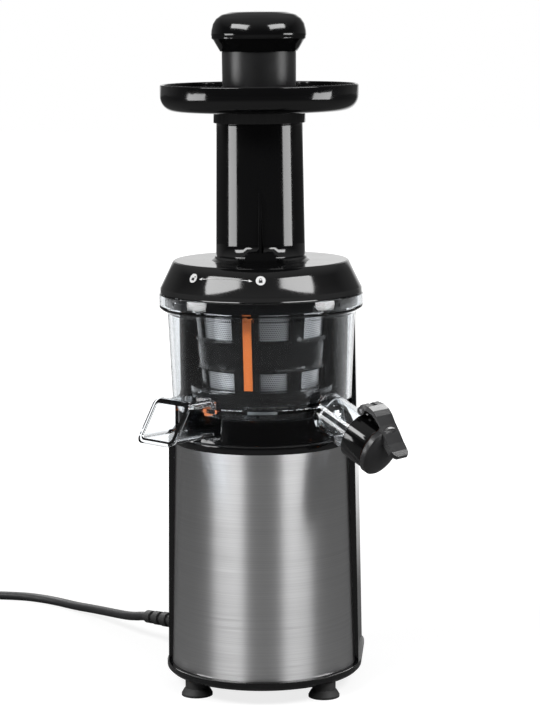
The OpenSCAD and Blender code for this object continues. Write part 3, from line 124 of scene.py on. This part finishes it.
def coil_point(turn):
    for (t0, r0, z0), (t1, r1, z1) in zip(COIL_TURNS, COIL_TURNS[1:]):
        if t0 <= turn <= t1:
            u = (turn - t0) / (t1 - t0)
            r, z = r0 + (r1 - r0) * u, z0 + (z1 - z0) * u
            a = COIL_START - turn * math.tau
            return COIL_AT + Vector((r * math.cos(a), r * math.sin(a), z)) * MM


def cord_points():
    plug_low, plug_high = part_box("mains_plug")
    tail = Vector(((plug_low.x + plug_high.x) / 2, plug_low.y + TAIL_INSET, TAIL_HEIGHT))
    points = [Vector(p) * MM for p in CORD_ROUTE]
    last = COIL_TURNS[-1][0]
    count = round(last * POINTS_PER_TURN)
    points += [coil_point(last * i / count) for i in range(count + 1)]
    while (points[-1] - tail).length < TAIL_CLEAR or points[-1].y > tail.y - TAIL_STRAIGHT:
        points.pop()
    return catmull(points + [tail], CURVE_STEPS)


def tube(name, points, radius):
    """A round tube along a line of points, as a curve of one spline."""
    data = bpy.data.curves.new(name, "CURVE")
    data.dimensions = "3D"
    data.bevel_depth = 1.0  # times each point's radius, which also sizes the curve's bounds
    data.bevel_resolution = 6
    data.use_fill_caps = True
    spline = data.splines.new("POLY")
    spline.points.add(len(points) - 1)
    for p, co in zip(spline.points, points):
        p.co = (*co, 1)
        p.radius = radius
    return in_scene(name, data)


cord_line = cord_points()
cord = tube("mains_cord", cord_line, CORD_D / 2)
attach(cord, "base")
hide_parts("power_cord", "cord_coil")


# ---- Shader nodes ----

def joined(tree, operation, a, b=0.0):
    """A math node over two values, each of them a socket or a number."""
    node = tree.nodes.new("ShaderNodeMath")
    node.operation = operation
    for socket, value in zip(node.inputs, (a, b)):
        if isinstance(value, (int, float)):
            socket.default_value = value
        else:
            tree.links.new(value, socket)
    return node.outputs[0]


def ramp(tree, value, start, end, low, high):
    """Goes from low to high while the value goes from start to end, and stays level outside."""
    node = tree.nodes.new("ShaderNodeMapRange")
    for socket, number in zip(("From Min", "From Max", "To Min", "To Max"),
                              (start, end, low, high)):
        node.inputs[socket].default_value = number
    tree.links.new(value, node.inputs["Value"])
    return node.outputs["Result"]


def separated(tree, vector):
    node = tree.nodes.new("ShaderNodeSeparateXYZ")
    tree.links.new(vector, node.inputs[0])
    return node.outputs


def mixed(tree, factor, first, second):
    """Mixes two shaders into the material's surface."""
    node = tree.nodes.new("ShaderNodeMixShader")
    for socket, source in zip(node.inputs, (factor, first, second)):
        tree.links.new(source, socket)
    tree.links.new(node.outputs[0], tree.nodes["Material Output"].inputs["Surface"])


# ---- Materials ----

NOISE_LOW, NOISE_HIGH = 0.3, 0.7  # between which most of a noise texture's values lie


class Shader:
    """A node-based material around one Principled shader, with helpers for its patterns."""

    def __init__(self, name, colour, roughness, metallic=0.0, **sockets):
        self.material = bpy.data.materials.new(name)
        self.material.use_nodes = True
        self.tree = self.material.node_tree
        self.nodes, self.links = self.tree.nodes, self.tree.links
        self.shader = self.nodes["Principled BSDF"]
        self.set("Base Color", (*colour, 1))
        self.set("Roughness", roughness)
        self.set("Metallic", metallic)
        for key, value in sockets.items():
            self.set(key.replace("_", " "), value)
        self.coordinates = self.nodes.new("ShaderNodeTexCoord").outputs["Object"]

    def set(self, socket, value):
        self.shader.inputs[socket].default_value = value

    def drive(self, socket, value):
        self.links.new(value, self.shader.inputs[socket])

    def stretched(self, scale):
        node = self.nodes.new("ShaderNodeMapping")
        node.inputs["Scale"].default_value = scale
        self.links.new(self.coordinates, node.inputs["Vector"])
        return node.outputs["Vector"]

    def noise(self, scale, detail=3.0, vector=None):
        node = self.nodes.new("ShaderNodeTexNoise")
        node.inputs["Scale"].default_value = scale
        node.inputs["Detail"].default_value = detail
        self.links.new(vector or self.coordinates, node.inputs["Vector"])
        return node.outputs["Fac"]

    def math(self, operation, a, b=0.0):
        return joined(self.tree, operation, a, b)

    def vary_colour(self, value, low, high, start=NOISE_LOW, end=NOISE_HIGH):
        node = self.nodes.new("ShaderNodeMix")
        node.data_type = "RGBA"
        node.inputs["A"].default_value = (*low, 1)
        node.inputs["B"].default_value = (*high, 1)
        self.links.new(ramp(self.tree, value, start, end, 0, 1), node.inputs["Factor"])
        self.drive("Base Color", node.outputs["Result"])

    def vary_roughness(self, value, low, high):
        self.drive("Roughness", ramp(self.tree, value, NOISE_LOW, NOISE_HIGH, low, high))

    def bump(self, height, strength, distance):
        node = self.nodes.new("ShaderNodeBump")
        node.inputs["Strength"].default_value = strength
        node.inputs["Distance"].default_value = distance
        self.links.new(height, node.inputs["Height"])
        self.drive("Normal", node.outputs["Normal"])


# Patches of shade and of gloss per metre on moulded parts, and how strongly their grain shows
SHADE_SCALE, GLOSS_SCALE, GRAIN_STRENGTH = 14, 45, 0.25


def moulded(name, low, high, rough, grain, depth, spread=0.05, specular=0.5):
    """Moulded plastic or rubber: slight shade and gloss variation over a fine grain."""
    s = Shader(name, low, rough, Specular_IOR_Level=specular)
    s.vary_colour(s.noise(SHADE_SCALE, 2), low, high)
    s.vary_roughness(s.noise(GLOSS_SCALE, 4), rough - spread, rough + spread)
    s.bump(s.noise(grain, 2), GRAIN_STRENGTH, depth)
    return s.material


def brushed_steel():
    """Sheet brushed round the body: fine level streaks, and highlights drawn out upwards."""
    s = Shader("steel_brushed", (0.8, 0.8, 0.805), 0.36, 1.0, Anisotropic=0.95,
               Anisotropic_Rotation=0.25)
    # Streaks per metre along x, y and z: many upwards, few round the body
    streaks = s.noise(1, 6, s.stretched((5, 5, 1500)))
    fine = s.noise(1, 3, s.stretched((22, 22, 5200)))
    both = s.math("ADD", s.math("MULTIPLY", streaks, 0.55), s.math("MULTIPLY", fine, 0.45))
    s.vary_colour(both, (0.75, 0.75, 0.755), (0.85, 0.85, 0.855), 0.36, 0.64)
    s.vary_roughness(both, 0.32, 0.42)
    s.bump(both, 0.06, 0.0001)
    tangent = s.nodes.new("ShaderNodeTangent")
    tangent.direction_type = "RADIAL"
    tangent.axis = "Z"
    s.drive("Tangent", tangent.outputs[0])
    return s.material


def bright_metal(name, low, high, rough):
    """Machined or drawn metal: faint stains, and streaks round the upright axis."""
    s = Shader(name, low, rough, 1.0)
    s.vary_colour(s.noise(60, 3), low, high)
    s.vary_roughness(s.noise(1, 3, s.stretched((300, 300, 40))), rough - 0.05, rough + 0.06)
    return s.material


HOLE_PITCH = 1.6 * MM
ROW_STEP = 0.87                # of the pitch, so that the holes of two rows mesh
STRAINER_R = 44 * MM           # where the holes are a pitch apart
HOLE_R, HOLE_RIM = 0.26, 0.34  # of the pitch: the hole painted dark as shade, and the outside of its rim
# The holes' dark is painted shade, for what is seen through them; the sheet's shade is its own
# colour
HOLE_PAINTED_SHADE, MESH_SHADE = (0.02, 0.02, 0.02), (0.6, 0.6, 0.61)


def perforated_steel():
    """Rows of small round holes round the strainer, drawn as dark dots with a rim; the dots' dark
    is painted shade, standing in for the view through the holes.
    """
    s = Shader("steel_perforated", MESH_SHADE, 0.32, 1.0)
    x, y, z = separated(s.tree, s.coordinates)
    along = s.math("MULTIPLY", s.math("ARCTAN2", y, x), STRAINER_R / HOLE_PITCH)
    up = s.math("DIVIDE", z, HOLE_PITCH * ROW_STEP)
    shift = s.math("MULTIPLY", s.math("MODULO", s.math("FLOOR", up), 2.0), 0.5)
    u = s.math("SUBTRACT", s.math("FRACT", s.math("ADD", along, shift)), 0.5)
    v = s.math("SUBTRACT", s.math("FRACT", up), 0.5)
    away = s.math("SQRT", s.math("ADD", s.math("MULTIPLY", u, u), s.math("MULTIPLY", v, v)))
    # Paints the holes dark: painted shade in place of the view through them
    s.vary_colour(away, HOLE_PAINTED_SHADE, MESH_SHADE, HOLE_R, HOLE_RIM)
    metal = ramp(s.tree, away, HOLE_R, HOLE_RIM, 0, 1)
    s.drive("Metallic", metal)
    s.bump(metal, 0.5, 0.0002)
    return s.material


def clear_plastic():
    """Clear moulded plastic that lets the lamps through to what is behind it."""
    s = Shader("clear_plastic", (0.93, 0.955, 0.975), 0.03, 0.0, Transmission_Weight=1.0,
               IOR=1.47)
    s.vary_roughness(s.noise(30, 3), 0.015, 0.05)
    clear = s.nodes.new("ShaderNodeBsdfTransparent")
    clear.inputs["Color"].default_value = (0.93, 0.95, 0.97, 1)
    path = s.nodes.new("ShaderNodeLightPath").outputs
    mixed(s.tree, path["Is Shadow Ray"], s.shader.outputs[0], clear.outputs[0])
    return s.material


# Plastic and rubber: two shades, roughness, bumps of the grain per metre and their depth in
# metres, and where it isn't the usual one, how far the roughness varies and the specular level
MOULDED = {
    "black_gloss": ((0.0022, 0.0022, 0.0024), (0.0038, 0.0038, 0.004), 0.1, 900, 0.00002, 0.03),
    "black_satin": ((0.008, 0.008, 0.0085), (0.012, 0.012, 0.0125), 0.27, 1400, 0.00004),
    "black_moist": ((0.002, 0.002, 0.0021), (0.0032, 0.0032, 0.0033), 0.16, 1200, 0.00002,
                    0.05, 0.3),
    "cap_black": ((0.018, 0.018, 0.019), (0.025, 0.025, 0.026), 0.33, 1400, 0.00004),
    "charcoal": ((0.006, 0.006, 0.0065), (0.009, 0.009, 0.0095), 0.34, 1500, 0.00003, 0.04),
    "rubber": ((0.012, 0.012, 0.012), (0.024, 0.024, 0.024), 0.62, 1100, 0.00006, 0.08),
    "orange": ((0.57, 0.135, 0.024), (0.67, 0.17, 0.032), 0.42, 900, 0.00004),
    "pom": ((0.78, 0.78, 0.75), (0.84, 0.84, 0.81), 0.35, 900, 0.00003),
    "nylon": ((0.7, 0.66, 0.52), (0.78, 0.74, 0.6), 0.4, 900, 0.00003),
    "carbon": ((0.02, 0.02, 0.022), (0.04, 0.04, 0.042), 0.6, 700, 0.00006),
    "board": ((0.02, 0.14, 0.05), (0.03, 0.18, 0.07), 0.35, 500, 0.00003),
    "cord": ((0.010, 0.010, 0.011), (0.017, 0.017, 0.018), 0.5, 800, 0.00005, 0.08),
    "white_print": ((0.72, 0.72, 0.72), (0.8, 0.8, 0.8), 0.45, 1200, 0.00001),
}
LOOKS = {name: moulded(name, *values) for name, values in MOULDED.items()}
LOOKS.update({
    "steel": brushed_steel(),
    "mesh": perforated_steel(),
    "bright": bright_metal("steel_bright", (0.62, 0.62, 0.64), (0.7, 0.7, 0.72), 0.18),
    "zinc": bright_metal("zinc_cast", (0.5, 0.5, 0.52), (0.6, 0.6, 0.62), 0.42),
    "iron": bright_metal("laminations", (0.25, 0.25, 0.27), (0.34, 0.34, 0.36), 0.5),
    "copper": bright_metal("copper", (0.62, 0.27, 0.12), (0.74, 0.35, 0.18), 0.3),
    "bronze": bright_metal("bronze", (0.5, 0.33, 0.14), (0.58, 0.4, 0.2), 0.35),
    "clear": clear_plastic(),
})
NODE_LOOKS = {
    "black_gloss": "base_tray rear_housing top_deck lid feed_tray pusher_knob spout_collar"
                   " switch_bezel",
    "black_satin": "body_core power_rocker auger_screw",
    "black_moist": "strainer_frame wiper_frame",
    "cap_black": "drip_cap",
    "charcoal": "pusher_stem",
    "rubber": "foot_front_left foot_front_right foot_rear_left foot_rear_right motor_dampers"
              " strain_relief lid_seal",
    "steel": "steel_sleeve",
    "mesh": "strainer_mesh",
    "clear": "juice_bowl",
    "bright": "base_screws motor_shaft gearbox_screws intermediate_pin drive_shaft"
              " cap_hinge_pin auger_pin motor_bearings",
    "orange": "cap_seal pulp_plug wiper_blades shaft_seal",
    "pom": "wiper_pinion auger_hub cooling_fan",
    "nylon": "intermediate_gear output_gear motor_pinion",
    "zinc": "motor_bell_lower motor_bell_upper gearbox_case gearbox_cover",
    "iron": "motor_stator rotor_core",
    "copper": "motor_windings commutator",
    "bronze": "shaft_bush",
    "carbon": "carbon_brushes",
    "board": "control_board",
    "cord": "mains_plug",
}


def dress(obj, look):
    obj.data.materials.clear()
    obj.data.materials.append(LOOKS[look])


for look, names in NODE_LOOKS.items():
    for name in names.split():
        dress(NODES[name], look)
dress(cord, "cord")


# ---- Pieces that only the looks need ----

def mesh_object(name, verts, faces, look, body, smooth=True):
    data = bpy.data.meshes.new(name)
    data.from_pydata([tuple(v) for v in verts], [], faces)
    data.validate()
    if smooth:
        data.shade_smooth()
    obj = in_scene(name, data)
    dress(obj, look)
    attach(obj, body)
    return obj


# The lid's cone from its lower to its upper edge, and the marks on it, in millimetres and degrees
(CONE_R0, CONE_Z0), (CONE_R1, CONE_Z1) = (72.3, 294.0), (63.3, 312.5)
MARK_Z = 305.0
MARK_R = CONE_R0 + (CONE_R1 - CONE_R0) * (MARK_Z - CONE_Z0) / (CONE_Z1 - CONE_Z0)
OPEN_AZ, CLOSED_AZ = -130.4, -85.5
DISC_R = 3.4
PRINT_LIFT, PRINT_THICK = 0.12, 0.3
INK_LIFT, INK_THICK = 0.18, 0.1  # of the dark signs on the white discs
HEAD_LIFT = 0.13                 # of the arrow's heads, just over its line


def on_lid(az, up, out):
    """A point on the lid's cone: az in degrees, up the slope from the marks, out from it."""
    length = math.hypot(CONE_R1 - CONE_R0, CONE_Z1 - CONE_Z0)
    slope = Vector(((CONE_R1 - CONE_R0) / length, (CONE_Z1 - CONE_Z0) / length))
    normal = Vector((slope.y, -slope.x))
    r = MARK_R + slope.x * up + normal.x * out
    z = MARK_Z + slope.y * up + normal.y * out
    a = math.radians(az)
    return Vector((r * math.cos(a), r * math.sin(a), z)) * MM


def lid_patch(name, az, outline, lift, thick, look):
    """A thin printed patch on the lid; its outline is in millimetres, x to the right."""
    n = len(outline)
    verts = []
    for out in (lift - thick, lift):
        verts += [on_lid(az + math.degrees(x / MARK_R), y, out) for x, y in outline]
    faces = [list(range(n - 1, -1, -1)), list(range(n, 2 * n))]
    faces += [[i, (i + 1) % n, n + (i + 1) % n, n + i] for i in range(n)]
    obj = mesh_object(name, verts, faces, look, "lid_body", smooth=False)
    return obj


def ring_outline(r, count=28, at=(0, 0), start=0.0, sweep=360.0):
    """Points on a whole circle or, with a smaller sweep in degrees, on an arc with both ends."""
    steps = count if sweep >= 360 else count + 1
    angles = [math.radians(start + sweep * i / count) for i in range(steps)]
    return [(at[0] + r * math.cos(a), at[1] + r * math.sin(a)) for a in angles]


def padlock(name, az, opened):
    """A plain padlock mark on a white disc; its shackle is swung aside where it is open."""
    lid_patch(f"{name}_disc", az, ring_outline(DISC_R), PRINT_LIFT, PRINT_THICK, "white_print")
    body = [(-1.25, -1.6), (1.25, -1.6), (1.25, 0.25), (-1.25, 0.25)]
    lid_patch(f"{name}_body", az, body, INK_LIFT, INK_THICK, "charcoal")
    shift = 1.5 if opened else 0.0
    outer_r, inner_r, foot_y, bow_y = 0.95, 0.55, 0.2, 0.75
    outer = ring_outline(outer_r, 10, (shift, bow_y), 0, 180)
    inner = ring_outline(inner_r, 10, (shift, bow_y), 180, -180)
    shackle = ([(shift + outer_r, foot_y)] + outer
               + [(shift - outer_r, foot_y), (shift - inner_r, foot_y)] + inner
               + [(shift + inner_r, foot_y)])
    lid_patch(f"{name}_shackle", az, shackle, INK_LIFT, INK_THICK, "charcoal")


def turn_arrow():
    """Thin double-headed arrow between the two marks, bent with the lid."""
    a0, a1 = OPEN_AZ + 5.0, CLOSED_AZ - 5.0
    mid, half = (a0 + a1) / 2, math.radians(a1 - a0) / 2 * MARK_R
    rise, drop, half_line, head_inset, steps = 1.2, 0.4, 0.2, 2, 24
    top, bottom = [], []
    for i in range(steps + 1):
        x = -half + head_inset + (2 * half - 2 * head_inset) * i / steps
        y = rise * (1 - (x / half) ** 2) - drop
        top.append((x, y + half_line))
        bottom.append((x, y - half_line))
    lid_patch("arrow_line", mid, bottom + top[::-1], PRINT_LIFT, PRINT_THICK, "white_print")
    for side, name in ((-1, "arrow_head_open"), (1, "arrow_head_closed")):
        tip = side * half
        head = [(tip, -0.5), (tip - side * 2.6, 0.9), (tip - side * 2.3, -1.0)]
        outline = head if side < 0 else head[::-1]
        lid_patch(name, mid, outline, HEAD_LIFT, PRINT_THICK, "white_print")


padlock("mark_open", OPEN_AZ, True)
padlock("mark_closed", CLOSED_AZ, False)
turn_arrow()

# The band round the coil's turns, in millimetres
TIE_AZ = math.radians(20)
TIE_AT = 38                       # from the coil's middle to the band's
TIE_HALF_W, TIE_HALF_L = 7.6, 5.5
TIE_LOW, TIE_HIGH = 0.5, 14.6
TIE_ROUND, TIE_THICK = 3.0, 0.5
TIE_SINK = 0.9                    # of its thickness, on the table's side


def coil_tie():
    """A hook-and-loop band round the coil's turns, on the side away from the plug."""
    across = Vector((math.cos(TIE_AZ), math.sin(TIE_AZ), 0))
    along = Vector((-across.y, across.x, 0))
    side = TIE_HALF_W - TIE_ROUND
    section = []
    for cx, cz, start in ((side, TIE_HIGH - TIE_ROUND, 0), (-side, TIE_HIGH - TIE_ROUND, 90),
                          (-side, TIE_LOW + TIE_ROUND, 180), (side, TIE_LOW + TIE_ROUND, 270)):
        corner = ring_outline(TIE_ROUND, 5, (0, 0), start, 90)
        section += [(TIE_AT + cx + x, cz + z) for x, z in corner]
    middle_z = (TIE_LOW + TIE_HIGH) / 2
    verts, faces = [], []
    for grow in (0.0, TIE_THICK):
        for end in (-1, 1):
            for x, z in section:
                gx = x + grow * (1 if x > TIE_AT else -1)
                gz = z + grow * (1 if z > middle_z else -TIE_SINK)
                place = across * gx + along * (end * TIE_HALF_L) + Vector((0, 0, gz))
                verts.append(COIL_AT + place * MM)
    count = len(section)
    inner0, inner1, outer0, outer1 = 0, count, 2 * count, 3 * count
    for i in range(count):
        j = (i + 1) % count
        faces += [[outer0 + i, outer0 + j, outer1 + j, outer1 + i],
                  [inner0 + j, inner0 + i, inner1 + i, inner1 + j],
                  [outer0 + j, outer0 + i, inner0 + i, inner0 + j],
                  [outer1 + i, outer1 + j, inner1 + j, inner1 + i]]
    obj = mesh_object("cord_tie", verts, faces, "carbon", "base")
    return obj


tie = coil_tie()


# ---- Small rounded edges on the moulded parts, in millimetres ----

BEVELS = {
    "drip_cap": 0.7, "spout_collar": 0.4, "lid": 0.35, "feed_tray": 0.3, "base_tray": 0.6,
    "rear_housing": 0.5, "pusher_knob": 0.3, "mains_plug": 0.5, "strainer_frame": 0.25,
    "wiper_frame": 0.2, "top_deck": 0.3, "wiper_blades": 0.3, "pulp_plug": 0.3,
    "switch_bezel": 0.3, "power_rocker": 0.3,
}
SAME_PLACE = 1e-6
EDGE_ANGLE = math.radians(32)  # sharper edges than this are rounded


def soften(obj, width):
    weld = obj.modifiers.new("weld", "WELD")
    weld.merge_threshold = SAME_PLACE
    bevel = obj.modifiers.new("bevel", "BEVEL")
    bevel.width = width * MM
    bevel.segments = 2
    bevel.limit_method = "ANGLE"
    bevel.angle_limit = EDGE_ANGLE
    bevel.harden_normals = True


for name, width in BEVELS.items():
    soften(NODES[name], width)


# ---- Floor, world and lamps ----

FLOOR_HALF = 8
FLOOR_TONE, SEEN_TONE = 0.19, 0.8  # for the light that it throws back, and as the camera sees it
FLOOR_WHITE, WHITE_SHARE = 1.35, 0.6  # the white on it, and its share close to the object
FRONT_LIGHT, REAR_LIGHT, TOP_LIGHT = 0.03, 0.15, 0.4
MIRRORED_WHITE = 1.25  # of the world straight behind the object
# Where the floor changes, in metres: from the object, and to the back of it
OUT_OF_SHADOW, FLOOR_BEHIND = (0.3, 0.7), (0.3, 0.9)
# How much of a direction points straight back, for mirrors, glass and the dim light
FLOOR_STRAIGHT, WORLD_STRAIGHT = (0.93, 1.0), (0.9, 1.0)
WORLD_BEHIND, REAR_RISE = (0.05, 0.35), (0, 0.6)
TOP_RISE = (0.3, 0.9)  # how much of it points up
AIM_HEIGHT = 0.25      # of the lamps, at the bowl


def stage_floor():
    """A floor that keeps a soft shadow for the camera and is white behind glass and in mirrors."""
    data = bpy.data.meshes.new("floor")
    corners = [(x * FLOOR_HALF, y * FLOOR_HALF, 0) for x, y in ((-1, -1), (1, -1), (1, 1), (-1, 1))]
    data.from_pydata(corners, [], [[0, 1, 2, 3]])
    floor = in_scene("floor", data)
    material = bpy.data.materials.new("floor")
    material.use_nodes = True
    tree = material.node_tree
    shader = tree.nodes["Principled BSDF"]
    shader.inputs["Roughness"].default_value = 0.7
    shader.inputs["Specular IOR Level"].default_value = 0.1
    white = tree.nodes.new("ShaderNodeEmission")
    white.inputs["Strength"].default_value = FLOOR_WHITE
    path = tree.nodes.new("ShaderNodeLightPath").outputs
    coordinates = tree.nodes.new("ShaderNodeTexCoord").outputs["Object"]
    back = separated(tree, coordinates)["Y"]
    away = tree.nodes.new("ShaderNodeVectorMath")
    away.operation = "LENGTH"
    tree.links.new(coordinates, away.inputs[0])
    distance = away.outputs["Value"]
    behind = ramp(tree, back, *FLOOR_BEHIND, 0, 1)
    straight = ramp(tree, joined(tree, "DIVIDE", back, distance), *FLOOR_STRAIGHT, 0, 1)
    through = joined(tree, "MULTIPLY", path["Is Transmission Ray"], behind)
    mirrored = joined(tree, "MULTIPLY", path["Is Glossy Ray"],
                      joined(tree, "MULTIPLY", behind, straight))
    tone = ramp(tree, path["Is Camera Ray"], 0, 1, FLOOR_TONE, SEEN_TONE)
    tree.links.new(tone, shader.inputs["Base Color"])
    seen = joined(tree, "MULTIPLY", path["Is Camera Ray"],
                  ramp(tree, distance, *OUT_OF_SHADOW, WHITE_SHARE, 1))
    shown = joined(tree, "MAXIMUM", seen, joined(tree, "MAXIMUM", through, mirrored))
    mixed(tree, shown, shader.outputs[0], white.outputs[0])
    data.materials.append(material)


def studio_world():
    """White to the camera, through glass and straight behind in a mirror, and dim elsewhere."""
    world = bpy.data.worlds.new("studio")
    scene.world = world
    world.use_nodes = True
    tree = world.node_tree
    coordinates = tree.nodes.new("ShaderNodeTexCoord").outputs["Generated"]
    direction = separated(tree, coordinates)
    ahead, up = direction["Y"], direction["Z"]
    path = tree.nodes.new("ShaderNodeLightPath").outputs
    dim = joined(tree, "MAXIMUM", ramp(tree, ahead, *REAR_RISE, FRONT_LIGHT, REAR_LIGHT),
                 ramp(tree, up, *TOP_RISE, FRONT_LIGHT, TOP_LIGHT))
    through = joined(tree, "MULTIPLY", path["Is Transmission Ray"],
                     ramp(tree, ahead, *WORLD_BEHIND, 0, 1))
    mirrored = joined(tree, "MULTIPLY", path["Is Glossy Ray"],
                      ramp(tree, ahead, *WORLD_STRAIGHT, 0, MIRRORED_WHITE))
    seen = joined(tree, "MAXIMUM", joined(tree, "MAXIMUM", through, mirrored),
                  path["Is Camera Ray"])
    background = tree.nodes["Background"]
    background.inputs["Color"].default_value = (1, 1, 1, 1)
    tree.links.new(joined(tree, "MAXIMUM", dim, seen), background.inputs["Strength"])


def softbox(name, az, distance, elevation, width, tall, radiance):
    """A flat lamp that faces the bowl; az is in degrees from the front, to the right."""
    data = bpy.data.lights.new(name, "AREA")
    data.shape = "RECTANGLE"
    data.size, data.size_y = width, tall
    data.energy = math.pi * width * tall * radiance
    lamp = in_scene(name, data)
    a, e = math.radians(az), math.radians(elevation)
    aim = Vector((-math.sin(a) * math.cos(e), math.cos(a) * math.cos(e), -math.sin(e)))
    turn = aim.to_track_quat("-Z", "Y").to_matrix().to_4x4()
    place = Vector((0, 0, AIM_HEIGHT)) - aim * distance
    lamp.matrix_world = Matrix.Translation(place) @ turn
    return lamp


def flag_off(lamps, name, shaded):
    """Keeps lamps off the named pieces and the floor, as black flags do on a studio set."""
    lit = bpy.data.collections.new(name)
    for obj in [cord, tie] + [node for key, node in NODES.items() if key not in shaded.split()]:
        lit.objects.link(obj)
    for lamp in lamps:
        lamp.light_linking.receiver_collection = lit


stage_floor()
studio_world()
softbox("left_box", -47, 1.3, 38, 0.92, 0.36, 12)
softbox("right_box", 54, 1.3, 38, 0.84, 0.36, 12)
rear_boxes = [softbox("rear_left_box", -140, 1.5, 32, 0.9, 0.6, 8),
              softbox("rear_right_box", 148, 1.5, 32, 0.9, 0.6, 8)]
strips = [softbox("left_strip", -72, 1.3, 2, 0.6, 0.34, 8),
          softbox("right_strip", 80, 1.3, 2, 0.6, 0.34, 8)]
flag_off(strips, "lit_by_strips", "steel_sleeve")
flag_off(rear_boxes, "lit_from_behind",
         "steel_sleeve lid juice_bowl spout_collar feed_tray pusher_knob")

scene.view_settings.view_transform = "Standard"
bpy.context.view_layer.update()
